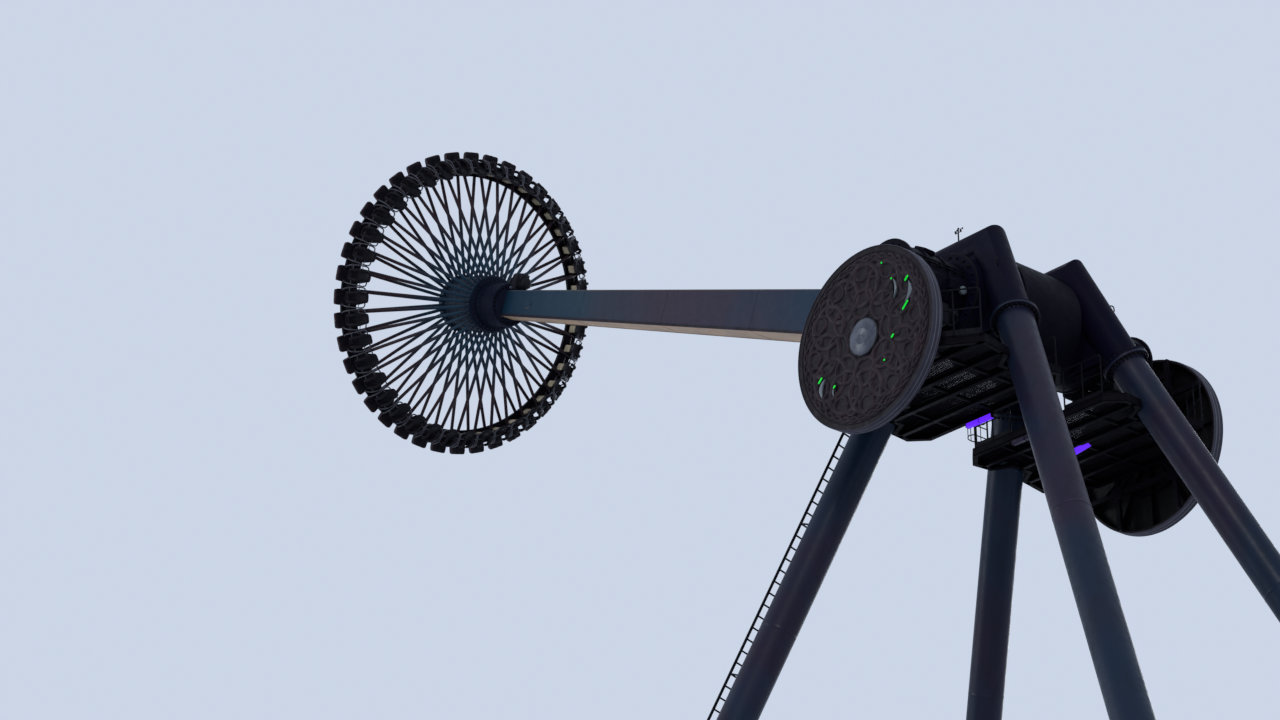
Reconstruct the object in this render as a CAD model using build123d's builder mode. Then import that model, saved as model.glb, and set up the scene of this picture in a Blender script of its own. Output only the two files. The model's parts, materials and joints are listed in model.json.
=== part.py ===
"""Gyro swing ride: a long arm with a ring of seats, hung between two A-frames.

The arm is drawn raised, as in the photograph. X is the way the arm swings, Y is the main
axle, Z is up, and the origin is on the ground below the middle of the axle. The front is +X
and the left side is -Y.
"""
import math
import os

from build123d import *

os.makedirs("parts", exist_ok=True)

# Driving dimensions, in millimetres and degrees
pivot_height = 25400        # main axle above the ground
arm_raise = 21.97           # the arm above the horizontal, as it stands
arm_length = 23220          # axle to the plane of the seat ring's tube

foot_x = 12660              # feet from the middle, along the swing
foot_y = 8010               # feet from the middle, along the axle
leg_axle_x = 1334           # where the legs' centre lines reach the axle's height
leg_axle_y = 1567
leg_radius = 433
leg_wall = 25
base_width = 1700
base_thick = 60
anchor_inset = 150
anchor_radius = 27
gusset_height = 700
gusset_thick = 30
gusset_reach = 330

splice_drop = 1150          # where a leg is bolted to its head, below the axle
flange_rim = 140
flange_thick = 60
splice_bolts = 28
splice_bolt_radius = 26

head_top_x = 650            # the two stub tubes at the head's flat top
head_top_y = 1370
head_top_rise = 1530        # above the axle
head_cap_side = 1110        # half the length of the cap
head_cap_depth = 850
head_cap_corner = 60
head_web_thick = 240
head_web_plate = 40
housing_radius = 1050
housing_inner_y = 1010
housing_outer_y = 2200
housing_wall = 80
axle_wall = 90
axle_radius = 520
axle_stub = 80              # axle beyond the bearing housing
running_gap = 0.8

drum_radius = 1400          # the arm's hub on the axle
drum_half = 930
drum_wall = 50
arm_root = 1250             # from the axle to where the box girder starts
arm_root_height = 1325
arm_root_width = 1174
arm_tip = 20800
arm_tip_height = 758
arm_tip_width = 400
arm_plate = 30

disc_radius = 2177          # the round ornamental discs
disc_drop = 1837            # disc centre below the axle
disc_face_y = 4820
disc_depth = 290
disc_plate = 60
disc_rim = 70
bead_width = 22
bead_height = 18
lamp_radius = 420
lamp_rise = 110
hoop_height = 45            # raised ornament on the disc
hoop_width = 90
hoop_rings = ((1330, 12, 560), (850, 8, 380))    # ring radius, hoops, hoop radius

drive_radius = 780          # the drive's round housing, on the axle
drive_end_radius = 850
drive_end_y = 4050
drive_rib = 35
drive_rib_width = 70
drive_rib_count = 4
drive_wall = 30

deck_drop = 2300            # deck surface below the axle
deck_thick = 200
deck_plate = 40
deck_beam = 120
deck_inner_y = 700
deck_outer_y = 4430
deck_half_x = 2460
deck_wing_x = 2950
deck_outer_half_x = 1450
deck_corner = 400
deck_cross_y = (1400, 2150, 2900, 3650)          # cross beams
deck_gap = 0.3
rail_height = 1150
rail_bar = 50
toe_height = 150
rail_rows = 2
rail_bays = 2

motor_radius = 190
motor_length = 900
motor_x = 520
motor_y = 2450
motor_block = 300

frame_bar = 120             # bars behind the disc
frame_brace = 84
frame_half_x = 900
frame_half_z = 1000
frame_tie_x = 380
frame_tie_z = 300           # below the axle

ladder_width = 480
ladder_bar = 40
ladder_rung = 24
ladder_stand = 300
ladder_pitch = 300
ladder_foot = 900           # lowest rung along the leg, above the ground
ladder_ties = 6

lamp_bar_length = 820
lamp_bar_size = 130

mast_x = -170
mast_height = 490
mast_radius = 22

seat_count = 40
spoke_turn = 2.2            # first pair of spokes, from the right-hand side
seat_turn = 5.1             # first seat
ring_radius = 3960          # centre of the seat ring's tube
ring_tube = 97
post_rise = 290             # posts that carry the upper spokes, above the tube's centre
post_width = 50
hub_radius = 780
hub_height = 1560
hub_base = 120              # below the ring's centre
hub_wall = 40
collar_width = 60
collar_height = 150
spoke_radius = 38
lower_spoke_rise = 110
lower_spoke_end = -20
upper_spoke_rise = 1480
spin_flange_radius = 620
spin_flange_thick = 120
spin_motor_radius = 190
spin_motor_length = 620
spin_motor_gap = 15

seat_gap = 0.3              # seats stand just off the ring's tube
seat_width = 467
pan_bottom = -50
pan_top = 120
pan_edge = 4440             # front of the seat, from the gondola's middle
back_width = 310
back_rear = 3940            # foot of the back, from the gondola's middle
back_top = 690
back_top_rear = 3740
back_top_front = 3860
panel_width = 290
panel_thick = 25
panel_bottom = 130
panel_top = 560
restraint_width = 300
restraint_bar = 36
restraint_top = 675
restraint_front = 4270

# Places that follow from the dimensions
pivot = Vector(0, 0, pivot_height)
arm_dir = Vector(-math.cos(math.radians(arm_raise)), 0, math.sin(math.radians(arm_raise)))
arm_frame = Plane(origin=pivot, x_dir=(0, 1, 0), z_dir=arm_dir)
gondola_frame = Plane(origin=pivot + arm_dir * arm_length, x_dir=(0, 1, 0), z_dir=-arm_dir)
gondola_axis = Axis(gondola_frame.origin, gondola_frame.z_dir)
foot = Vector(foot_x, -foot_y, 0)
leg_dir = (foot - Vector(leg_axle_x, -leg_axle_y, pivot_height)).normalized()
splice = Vector(leg_axle_x, -leg_axle_y, pivot_height) + leg_dir * (splice_drop / -leg_dir.Z)
leg_length = (foot - splice).length
head_top = Vector(head_top_x, -head_top_y, pivot_height + head_top_rise)
stub_dir = (head_top - splice).normalized()
disc_z = pivot_height - disc_drop
deck_z = pivot_height - deck_drop
disc_back_y = disc_face_y - disc_depth
leg_clear = leg_radius + deck_gap
seat_start = ring_radius + ring_tube + seat_gap


def save(part, name):
    """Label a finished piece and write it."""
    part.label = name
    export_step(part, f"parts/{name}.step")


def mirrored(part, plane):
    """The same piece on the other side of the ride."""
    with BuildPart() as twin:
        mirror(part, about=plane)
    return twin.part


def across(y, z=pivot_height):
    """A plane square to the axle, facing the left side, at y and centred at height z."""
    return Plane(origin=(0, y, z), x_dir=(1, 0, 0), z_dir=(0, -1, 0))


def swung(vector, side):
    """A place or direction of the front leg, for the front (1) or the rear (-1)."""
    return Vector(side * vector.X, vector.Y, vector.Z)


def radial_plane(turn):
    """The radial plane of the gondola at an angle: x is outward, y is up for the rider."""
    spin = math.radians(turn)
    outward = gondola_frame.x_dir * math.cos(spin) + gondola_frame.y_dir * math.sin(spin)
    return Plane(origin=gondola_frame.origin, x_dir=outward,
                 z_dir=outward.cross(gondola_frame.z_dir))


def back_face(z, foot_r, top_r):
    """How far out a leaning face of the seat back is at height z."""
    return foot_r + (top_r - foot_r) * (z - pan_top) / (back_top - pan_top)


seat_planes = [radial_plane(seat_turn + 360 / seat_count * k) for k in range(seat_count)]
spoke_planes = [radial_plane(spoke_turn + 360 / seat_count * k) for k in range(seat_count)]

# One leg: a round tube with a bolted flange at the top and gussets at the foot
leg_top = Plane(origin=splice, x_dir=(0, 1, 0), z_dir=leg_dir)
foot_planes = [Plane(origin=(foot_x, -foot_y, base_thick), x_dir=out, z_dir=Vector(*out).cross(Vector(0, 0, 1)))
               for out in ((1, 0, 0), (-1, 0, 0), (0, 1, 0), (0, -1, 0))]
with BuildPart() as front_left_leg:
    with BuildSketch(leg_top):
        Circle(leg_radius)
    extrude(amount=leg_length + leg_radius)
    with BuildSketch(leg_top):
        Circle(leg_radius + flange_rim)
    extrude(amount=flange_thick)
    split(bisect_by=Plane.XY.offset(base_thick), keep=Keep.TOP)
    with BuildSketch(*foot_planes):
        Polygon((0, 0), (leg_radius + gusset_reach, 0), (leg_radius + gusset_reach, gusset_thick),
                (leg_radius, gusset_height), (0, gusset_height), align=None)
    extrude(amount=gusset_thick / 2, both=True)
    with BuildSketch(leg_top):
        Circle(leg_radius - leg_wall)
    extrude(amount=leg_length + leg_radius, mode=Mode.SUBTRACT)
    with BuildSketch(leg_top):
        with PolarLocations(leg_radius + flange_rim / 2, splice_bolts):
            Circle(splice_bolt_radius)
    extrude(amount=flange_thick, mode=Mode.SUBTRACT)

# Base plate under a leg, with four anchor holes
with BuildPart() as front_left_base:
    with BuildSketch(Plane(origin=(foot_x, -foot_y, 0))):
        Rectangle(base_width, base_width)
        with GridLocations(base_width - 2 * anchor_inset, base_width - 2 * anchor_inset, 2, 2):
            Circle(anchor_radius, mode=Mode.SUBTRACT)
    extrude(amount=base_thick)

# One head: two stub tubes under a flat cap, webs between them and the axle's bearing housing
joint_faces = [Plane(origin=swung(splice, side), x_dir=(0, 1, 0), z_dir=-swung(leg_dir, side))
               for side in (-1, 1)]
stub_planes = [Plane(origin=swung(splice - stub_dir * leg_radius, side), x_dir=(0, 1, 0),
                     z_dir=swung(stub_dir, side)) for side in (-1, 1)]
stub_length = (head_top - splice).length + 2 * leg_radius
web_y = -(-splice.Y + head_top_y) / 2
with BuildPart() as left_head:
    with BuildSketch(*stub_planes):
        Circle(leg_radius)
    extrude(amount=stub_length)
    for joint_face in joint_faces:
        split(bisect_by=joint_face, keep=Keep.TOP)
    with BuildSketch(*joint_faces):
        Circle(leg_radius + flange_rim)
    extrude(amount=flange_thick)
    with BuildSketch(across(web_y + head_web_thick / 2),
                     across(web_y - head_web_thick / 2 + head_web_plate)):
        Polygon((-splice.X, -splice_drop + flange_rim), (splice.X, -splice_drop + flange_rim),
                (head_top_x, head_top_rise), (-head_top_x, head_top_rise), align=None)
    extrude(amount=head_web_plate)
    with BuildSketch(across(-housing_inner_y)):
        Circle(housing_radius)
    extrude(amount=housing_outer_y - housing_inner_y)
    split(bisect_by=Plane.XY.offset(pivot_height + head_top_rise), keep=Keep.BOTTOM)
    with BuildSketch(*stub_planes):
        Circle(leg_radius - leg_wall)
    extrude(amount=stub_length, mode=Mode.SUBTRACT)
    with BuildSketch(Plane(origin=(0, -head_top_y, pivot_height + head_top_rise))):
        RectangleRounded(2 * head_cap_side, head_cap_depth, head_cap_corner)
    extrude(amount=-leg_wall)
    with BuildSketch(across(-housing_inner_y)):
        Circle(housing_radius)
        Circle(housing_radius - housing_wall, mode=Mode.SUBTRACT)
        Circle(axle_radius + housing_wall)
    extrude(amount=housing_outer_y - housing_inner_y)
    with BuildSketch(across(-housing_inner_y - housing_wall)):
        Circle(housing_radius - housing_wall)
        Circle(axle_radius + housing_wall, mode=Mode.SUBTRACT)
    extrude(amount=housing_outer_y - housing_inner_y, mode=Mode.SUBTRACT)
    with BuildSketch(across(-housing_inner_y)):
        Circle(axle_radius + running_gap)
    extrude(amount=housing_outer_y, mode=Mode.SUBTRACT)
    with BuildSketch(*joint_faces):
        with PolarLocations(leg_radius + flange_rim / 2, splice_bolts):
            Circle(splice_bolt_radius)
    extrude(amount=flange_thick, mode=Mode.SUBTRACT)

# Round housing of the drive, from the bearing housing outwards, with clamp bands
band_pitch = (drive_end_y - housing_outer_y - drive_rib_width) / (drive_rib_count - 1)
with BuildPart() as left_drive_housing:
    with BuildSketch(across(-housing_outer_y)):
        Circle(drive_radius)
    extrude(amount=drive_end_y - housing_outer_y)
    with BuildSketch(*[across(-housing_outer_y - k * band_pitch) for k in range(drive_rib_count - 1)]):
        Circle(drive_radius + drive_rib)
    extrude(amount=drive_rib_width)
    with BuildSketch(across(-drive_end_y + drive_rib_width)):
        Circle(drive_end_radius)
    extrude(amount=drive_rib_width)
    with BuildSketch(across(-housing_outer_y)):
        Circle(drive_radius - drive_wall)
    extrude(amount=drive_end_y - housing_outer_y - drive_wall, mode=Mode.SUBTRACT)

# Two geared motors under the drive housing
motor_z = -math.sqrt((drive_radius + drive_rib) ** 2 - motor_x ** 2) - motor_radius
with BuildPart() as left_drive_motors:
    with BuildSketch(across(-motor_y)):
        with Locations((-motor_x, motor_z), (motor_x, motor_z)):
            Circle(motor_radius)
    extrude(amount=motor_length)
    with BuildSketch(across(-motor_y - motor_length / 3)):
        with Locations((-motor_x, motor_z), (motor_x, motor_z)):
            Rectangle(motor_block, motor_radius * 3)
    extrude(amount=motor_block)
    with BuildSketch(across(-motor_y)):
        Circle(drive_radius + drive_rib + deck_gap)
    extrude(amount=motor_length, mode=Mode.SUBTRACT)

# Deck for the drive: a thin floor on beams, notched round the legs
deck_side = [(deck_half_x - deck_corner, -deck_inner_y), (deck_half_x, -deck_inner_y - deck_corner),
             (deck_wing_x, splice.Y - leg_radius), (deck_wing_x - deck_corner, -deck_outer_y + 2 * deck_corner),
             (deck_outer_half_x, -deck_outer_y)]
deck_outline = deck_side + [(-x, y) for x, y in reversed(deck_side)]
with BuildPart() as left_deck:
    with BuildSketch(Plane.XY.offset(deck_z - deck_plate)):
        Polygon(*deck_outline, align=None)
    extrude(amount=deck_plate)
    with BuildSketch(Plane.XY.offset(deck_z - deck_thick)):
        Polygon(*deck_outline, align=None)
        offset(amount=-deck_beam, kind=Kind.INTERSECTION, mode=Mode.SUBTRACT)
        with Locations(*[(0, -y) for y in deck_cross_y]):
            Rectangle(2 * deck_half_x, deck_beam)
    extrude(amount=deck_thick)
    with BuildSketch(*[Plane(origin=face.origin, x_dir=(0, 1, 0), z_dir=-face.z_dir)
                       for face in joint_faces]):
        Circle(leg_clear)
    extrude(amount=deck_drop * 2, mode=Mode.SUBTRACT)

# Handrails along the deck's wings
with BuildPart() as left_railing:
    for side in (-1, 1):
        corner = Vector(side * (deck_wing_x - deck_corner), -deck_outer_y + 2 * deck_corner, deck_z)
        run = Vector(side * deck_outer_half_x, -deck_outer_y, deck_z) - corner
        length = run.length - 2 * rail_bar
        middle = corner + run / 2 + Vector(0, 0, rail_height / 2)
        with BuildSketch(Plane(origin=middle, x_dir=run.normalized(),
                               z_dir=run.cross(Vector(0, 0, 1)).normalized())):
            Rectangle(length, rail_height)
            with Locations((0, (toe_height - rail_bar) / 2)):
                bay = (length - rail_bar) / rail_bays
                row = (rail_height - toe_height) / rail_rows
                with GridLocations(bay, row, rail_bays, rail_rows):
                    Rectangle(bay - rail_bar, row - rail_bar, mode=Mode.SUBTRACT)
        extrude(amount=rail_bar / 2, both=True)

# Frame behind the disc: posts, rails and a cross, tied to the end of the drive housing
frame_z = disc_z - pivot_height
frame_reach = disc_radius - disc_rim / 2
cross_turn = math.degrees(math.atan2(frame_half_z, frame_half_x))
with BuildPart() as left_disc_frame:
    with BuildSketch(across(-deck_outer_y)):
        with Locations((-frame_half_x, frame_z), (frame_half_x, frame_z)):
            Rectangle(frame_bar, 2 * math.sqrt(frame_reach ** 2 - frame_half_x ** 2))
        with Locations((0, frame_z - frame_half_z), (0, frame_z + frame_half_z)):
            Rectangle(2 * math.sqrt(frame_reach ** 2 - frame_half_z ** 2), frame_bar)
        with Locations(Location((0, frame_z, 0), -cross_turn), Location((0, frame_z, 0), cross_turn)):
            Rectangle(2 * math.hypot(frame_half_x, frame_half_z), frame_brace)
        with Locations((0, -frame_tie_z)):
            Rectangle(2 * frame_half_x, frame_bar)
    extrude(amount=disc_back_y - deck_outer_y)
    with BuildSketch(across(-drive_end_y)):
        with Locations((-frame_tie_x, -frame_tie_z), (frame_tie_x, -frame_tie_z)):
            Rectangle(frame_bar, frame_bar)
    extrude(amount=disc_back_y - drive_end_y)

# Round ornamental disc: a plate with a deep rim and two beads
with BuildPart() as left_disc:
    with BuildSketch(across(-disc_back_y, disc_z)):
        Circle(disc_radius)
    extrude(amount=disc_depth)
    with BuildSketch(across(-disc_back_y, disc_z)):
        Circle(disc_radius - disc_rim)
    extrude(amount=disc_depth - disc_plate, mode=Mode.SUBTRACT)
    for bead_radius in (disc_radius, disc_radius - 2 * disc_rim):
        with BuildSketch(across(-disc_face_y, disc_z)):
            Circle(bead_radius)
            Circle(bead_radius - bead_width, mode=Mode.SUBTRACT)
        extrude(amount=bead_height)

# Raised ornament: two rounds of interlaced hoops
with BuildPart() as left_disc_relief:
    with BuildSketch(across(-disc_face_y, disc_z)):
        for circle, count, radius in hoop_rings:
            with PolarLocations(circle, count):
                Circle(radius)
                Circle(radius - hoop_width, mode=Mode.SUBTRACT)
    extrude(amount=hoop_height)

# Round lamp in the middle of the disc
with BuildPart() as left_lamp:
    with BuildSketch(across(-disc_face_y, disc_z)):
        Circle(lamp_radius)
    extrude(amount=lamp_rise)
    chamfer(left_lamp.faces().sort_by(Axis.Y)[0].edges(), lamp_rise / 2)

# Lamp bar under the deck's inner edge
with BuildPart() as left_lamp_bar:
    with BuildSketch(Plane(origin=(-lamp_bar_length / 2, -deck_inner_y - lamp_bar_size / 2, deck_z - deck_thick),
                           z_dir=(0, 0, -1))):
        Rectangle(lamp_bar_length, lamp_bar_size)
    extrude(amount=lamp_bar_size)

# Ladder up the rear left leg
ladder_side = swung(leg_dir, -1)
ladder_out = (Vector(-1, 0, 0) - ladder_side * Vector(-1, 0, 0).dot(ladder_side)).normalized()
ladder_top = (deck_drop - splice_drop + deck_thick) / -leg_dir.Z
ladder_run = leg_length - ladder_foot - ladder_top
rung_count = int(ladder_run / ladder_pitch)
ladder_plane = Plane(origin=swung(splice, -1) + ladder_side * (ladder_top + ladder_run / 2)
                     + ladder_out * (leg_radius + ladder_stand),
                     x_dir=ladder_side.cross(ladder_out), z_dir=ladder_out)
with BuildPart() as rear_left_ladder:
    with BuildSketch(ladder_plane):
        with GridLocations(ladder_width, 0, 2, 1):
            Rectangle(ladder_bar, ladder_run)
        with GridLocations(0, ladder_pitch, 1, rung_count):
            Rectangle(ladder_width, ladder_rung)
    extrude(amount=ladder_bar / 2, both=True)
    with BuildSketch(ladder_plane):
        with GridLocations(ladder_width, ladder_pitch * (rung_count // ladder_ties), 2, ladder_ties):
            Rectangle(ladder_bar, ladder_bar)
    extrude(amount=-ladder_stand - leg_radius)
    with BuildSketch(Plane(origin=swung(splice, -1), x_dir=(0, 1, 0), z_dir=ladder_side)):
        Circle(leg_clear)
    extrude(amount=leg_length, mode=Mode.SUBTRACT)

# Wind gauge mast on the left head
with BuildPart() as wind_gauge:
    with BuildSketch(Plane(origin=(mast_x, -head_top_y, pivot_height + head_top_rise))):
        RegularPolygon(mast_radius, 8)
    extrude(amount=mast_height)

# The arm's hub: a drum with the axle through it
with BuildPart() as arm_hub:
    with BuildSketch(across(drum_half)):
        Circle(drum_radius)
    extrude(amount=2 * drum_half)
    with BuildSketch(across(housing_outer_y + axle_stub)):
        Circle(axle_radius)
    extrude(amount=2 * (housing_outer_y + axle_stub))
    with BuildSketch(across(drum_half - drum_wall)):
        Circle(drum_radius - drum_wall)
        Circle(axle_radius, mode=Mode.SUBTRACT)
    extrude(amount=2 * (drum_half - drum_wall), mode=Mode.SUBTRACT)
    with BuildSketch(across(housing_outer_y + axle_stub)):
        Circle(axle_radius - axle_wall)
    extrude(amount=2 * (housing_outer_y + axle_stub), mode=Mode.SUBTRACT)
    with BuildSketch(arm_frame.offset(axle_radius)):
        Rectangle(arm_root_width / 2, arm_root_height / 2)
    extrude(amount=drum_radius, mode=Mode.SUBTRACT)

# The arm: a box girder that tapers to the gondola
with BuildPart() as arm_girder:
    with BuildSketch(arm_frame.offset(arm_root)):
        Rectangle(arm_root_width, arm_root_height)
    with BuildSketch(arm_frame.offset(arm_tip)):
        Rectangle(arm_tip_width, arm_tip_height)
    loft()
    with BuildSketch(arm_frame.offset(arm_root)):
        Rectangle(arm_root_width - 2 * arm_plate, arm_root_height - 2 * arm_plate)
    with BuildSketch(arm_frame.offset(arm_tip)):
        Rectangle(arm_tip_width - 2 * arm_plate, arm_tip_height - 2 * arm_plate)
    loft(mode=Mode.SUBTRACT)
    with BuildSketch(Plane(origin=pivot, x_dir=(1, 0, 0), z_dir=(0, 1, 0))):
        Circle(drum_radius + deck_gap)
    extrude(amount=drum_radius, both=True, mode=Mode.SUBTRACT)

# End flange of the arm and the motor that turns the gondola
with BuildPart() as arm_flange:
    with BuildSketch(arm_frame.offset(arm_tip)):
        Circle(spin_flange_radius)
    extrude(amount=spin_flange_thick)
with BuildPart() as spin_motor:
    with BuildSketch(arm_frame.offset(arm_tip)):
        with Locations((0, -(arm_tip_height / 2 + spin_motor_radius + spin_motor_gap))):
            Circle(spin_motor_radius)
    extrude(amount=-spin_motor_length)

# The gondola's frame: a round tube with posts, two fans of spokes and their collars
inner = hub_radius + collar_width / 2
with BuildPart() as seat_ring:
    with BuildSketch(spoke_planes[0]):
        with Locations((ring_radius, 0)):
            Circle(ring_tube)
        with Locations((hub_radius + running_gap / 2, 0),
                       (hub_radius + running_gap / 2, upper_spoke_rise - collar_height / 2)):
            Rectangle(collar_width, collar_height, align=(Align.MIN, Align.MIN))
    revolve(axis=gondola_axis)
    with BuildSketch(gondola_frame):
        with PolarLocations(ring_radius, seat_count, start_angle=spoke_turn):
            Rectangle(post_width, post_width)
    extrude(amount=post_rise)
    for low, high in ((lower_spoke_rise, lower_spoke_end), (upper_spoke_rise, post_rise - spoke_radius)):
        starts = [plane.from_local_coords(Vector(inner, low, 0)) for plane in spoke_planes]
        ends = [plane.from_local_coords(Vector(ring_radius, high, 0)) for plane in spoke_planes]
        with BuildSketch(*[Plane(origin=a, x_dir=plane.z_dir, z_dir=b - a)
                           for a, b, plane in zip(starts, ends, spoke_planes)]):
            RegularPolygon(spoke_radius, 4, rotation=45)
        extrude(amount=(ends[0] - starts[0]).length)

# The gondola's hub and its slewing bearing
bearing_rise = arm_length - arm_tip - spin_flange_thick
with BuildPart() as gondola_hub:
    with BuildSketch(gondola_frame.offset(-hub_base)):
        Circle(hub_radius)
    extrude(amount=hub_height + hub_base)
    with BuildSketch(gondola_frame.offset(-hub_base + hub_wall)):
        Circle(hub_radius - hub_wall)
    extrude(amount=hub_height + hub_base, mode=Mode.SUBTRACT)
with BuildPart() as gondola_bearing:
    with BuildSketch(gondola_frame.offset(hub_height)):
        Circle(hub_radius)
    extrude(amount=hub_wall)
    with BuildSketch(gondola_frame.offset(hub_height + hub_wall)):
        Circle(spin_flange_radius)
    extrude(amount=bearing_rise - hub_height - hub_wall - running_gap)

# Seats: a pan in front of the ring's tube, a leaning back on top of it and a panel behind
with BuildPart() as seat_pans:
    with BuildSketch(*seat_planes):
        Polygon((seat_start, pan_bottom), (pan_edge, pan_bottom), (pan_edge, pan_top),
                (seat_start, pan_top), align=None)
    extrude(amount=seat_width / 2, both=True)

with BuildPart() as seat_backs:
    with BuildSketch(*seat_planes):
        Polygon((back_rear, ring_tube + seat_gap), (seat_start, ring_tube + seat_gap),
                (seat_start, pan_top), (back_top_front, back_top), (back_top_rear, back_top),
                (back_rear, pan_top), align=None)
    extrude(amount=back_width / 2, both=True)

with BuildPart() as seat_panels:
    with BuildSketch(*seat_planes):
        low_r, high_r = [back_face(z, back_rear, back_top_rear) for z in (panel_bottom, panel_top)]
        Polygon((low_r, panel_bottom), (high_r, panel_top), (high_r - panel_thick, panel_top),
                (low_r - panel_thick, panel_bottom), align=None)
    extrude(amount=panel_width / 2, both=True)

# Shoulder restraints: two bars a seat, from the top of the back down to the pan
restraint_line = [(back_face(restraint_top, seat_start, back_top_front), restraint_top),
                  (restraint_front - 5 * restraint_bar, restraint_top - restraint_bar / 2),
                  (restraint_front - restraint_bar, restraint_top - 4 * restraint_bar),
                  (restraint_front, restraint_top / 2), (restraint_front, pan_top)]
with BuildPart() as restraints:
    with BuildSketch(*seat_planes):
        Polygon(*restraint_line, (restraint_front - restraint_bar, pan_top),
                (restraint_front - restraint_bar, restraint_top / 2),
                (restraint_front - 2 * restraint_bar, restraint_top - 4.5 * restraint_bar),
                (restraint_front - 5.3 * restraint_bar, restraint_top - 1.5 * restraint_bar),
                (back_face(restraint_top - restraint_bar, seat_start, back_top_front),
                 restraint_top - restraint_bar), align=None)
    extrude(amount=restraint_width / 2, both=True)
    with BuildSketch(*seat_planes):
        Polygon((back_top_rear, 0), (pan_edge, 0), (pan_edge, back_top), (back_top_rear, back_top),
                align=None)
    extrude(amount=restraint_width / 2 - restraint_bar, both=True, mode=Mode.SUBTRACT)

# Write every piece, the right side as the mirror of the left and the rear as the mirror of the front
for name, piece in {"leg": front_left_leg, "base": front_left_base}.items():
    rear = mirrored(piece.part, Plane.YZ)
    save(piece.part, f"front_left_{name}")
    save(rear, f"rear_left_{name}")
    save(mirrored(piece.part, Plane.XZ), f"front_right_{name}")
    save(mirrored(rear, Plane.XZ), f"rear_right_{name}")

side_pieces = {"head": left_head, "drive_housing": left_drive_housing,
               "drive_motors": left_drive_motors, "deck": left_deck, "railing": left_railing,
               "disc_frame": left_disc_frame, "disc": left_disc, "disc_relief": left_disc_relief,
               "lamp": left_lamp, "lamp_bar": left_lamp_bar}
for name, piece in side_pieces.items():
    save(piece.part, f"left_{name}")
    save(mirrored(piece.part, Plane.XZ), f"right_{name}")

single_pieces = {"rear_left_ladder": rear_left_ladder, "wind_gauge": wind_gauge, "arm_hub": arm_hub,
                 "arm_girder": arm_girder, "arm_flange": arm_flange, "spin_motor": spin_motor,
                 "seat_ring": seat_ring, "gondola_hub": gondola_hub, "gondola_bearing": gondola_bearing,
                 "seat_backs": seat_backs, "seat_pans": seat_pans, "restraints": restraints,
                 "seat_panels": seat_panels}
for name, piece in single_pieces.items():
    save(piece.part, name)
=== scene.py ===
"""Looks of the gyro swing ride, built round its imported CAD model. Metres, same frame as the CAD."""
import json
import math

import bmesh
import bpy
import numpy as np
from mathutils import Matrix, Vector


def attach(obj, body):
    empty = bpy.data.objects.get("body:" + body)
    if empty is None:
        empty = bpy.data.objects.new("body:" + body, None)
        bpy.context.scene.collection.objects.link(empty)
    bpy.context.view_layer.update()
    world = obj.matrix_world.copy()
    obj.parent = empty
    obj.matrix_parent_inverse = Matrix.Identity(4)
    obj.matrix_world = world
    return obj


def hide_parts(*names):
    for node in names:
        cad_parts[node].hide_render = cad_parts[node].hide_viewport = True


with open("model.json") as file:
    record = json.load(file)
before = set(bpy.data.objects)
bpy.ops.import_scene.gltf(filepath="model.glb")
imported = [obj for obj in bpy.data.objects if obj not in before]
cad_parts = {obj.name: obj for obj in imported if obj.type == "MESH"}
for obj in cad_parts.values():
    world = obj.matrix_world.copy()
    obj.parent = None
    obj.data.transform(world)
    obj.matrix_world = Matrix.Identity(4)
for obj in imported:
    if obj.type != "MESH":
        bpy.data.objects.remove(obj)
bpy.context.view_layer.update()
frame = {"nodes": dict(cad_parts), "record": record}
nodes = frame["nodes"]

X, Y, Z = (1, 0, 0), (0, 1, 0), (0, 0, 1)
LEFT, DOWN = (0, -1, 0), (0, 0, -1)


def vec(*values):
    return np.array(values, float)


def unit(vector):
    return vector / np.linalg.norm(vector)


def turns(count, start=0.0):
    """Angles spread evenly over a full turn."""
    return np.linspace(0, 2 * math.pi, count, endpoint=False) + start


def polar(radius, turn):
    return radius * math.cos(turn), radius * math.sin(turn)


# Driving dimensions, the same as in the CAD source
PIVOT = vec(0, 0, 25.4)
ARM_RAISE, ARM_LENGTH = math.radians(21.97), 23.22
ARM_DIR = vec(-math.cos(ARM_RAISE), 0, math.sin(ARM_RAISE))
GONDOLA = PIVOT + ARM_DIR * ARM_LENGTH
FOOT, LEG_AT_AXLE, LEG_R = vec(12.66, -8.01, 0), vec(1.334, -1.567, 25.4), 0.433
LEG_DIR = unit(FOOT - LEG_AT_AXLE)
SPLICE_DROP = 1.15
SPLICE = LEG_AT_AXLE + LEG_DIR * (SPLICE_DROP / -LEG_DIR[2])
FLANGE_R, FLANGE_T, FLANGE_BOLTS = 0.573, 0.06, 28
BASE_T, ANCHOR = 0.06, 0.70
HEAD_TOP = vec(0.78, -1.385, 26.70)         # where the head's bent tube is mitred
HOUSING_R, HOUSING_Y, AXLE_BORE = 1.05, (1.01, 2.20), 0.525
DRIVE_R, DRIVE_BAND_R, DRIVE_END_Y = 0.78, 0.815, 4.05
BAND_PITCH, BAND_WIDTH = 0.593, 0.07
MOTOR_X, MOTOR_Y, MOTOR_Z = 0.52, -2.45, 24.5824
DECK_Z, DECK_T, GRATING_PITCH = 23.1, 0.2, 0.06
DECK_SIDE = [(2.06, -0.70), (2.46, -1.10), (2.40, -1.66), (1.94, -1.90), (1.94, -2.42), (2.38, -2.70),
             (2.55, -3.63), (1.45, -4.43)]
DECK_CROSS = (1.40, 2.15, 2.90, 3.65)
DISC_Z, DISC_R, DISC_BACK, DISC_FACE = 23.563, 2.177, 4.53, 4.82
LENS_R, LAMP_R = 0.432, 0.47
LADDER_HALF, LADDER_STAND, LADDER_FOOT, RUNG_PITCH = 0.24, 0.30, 0.9, 0.30
CAGE_X, CAGE_Y, CAGE_HALF = -2.58, 1.60, 0.2
DRUM_HALF = 0.93
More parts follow.
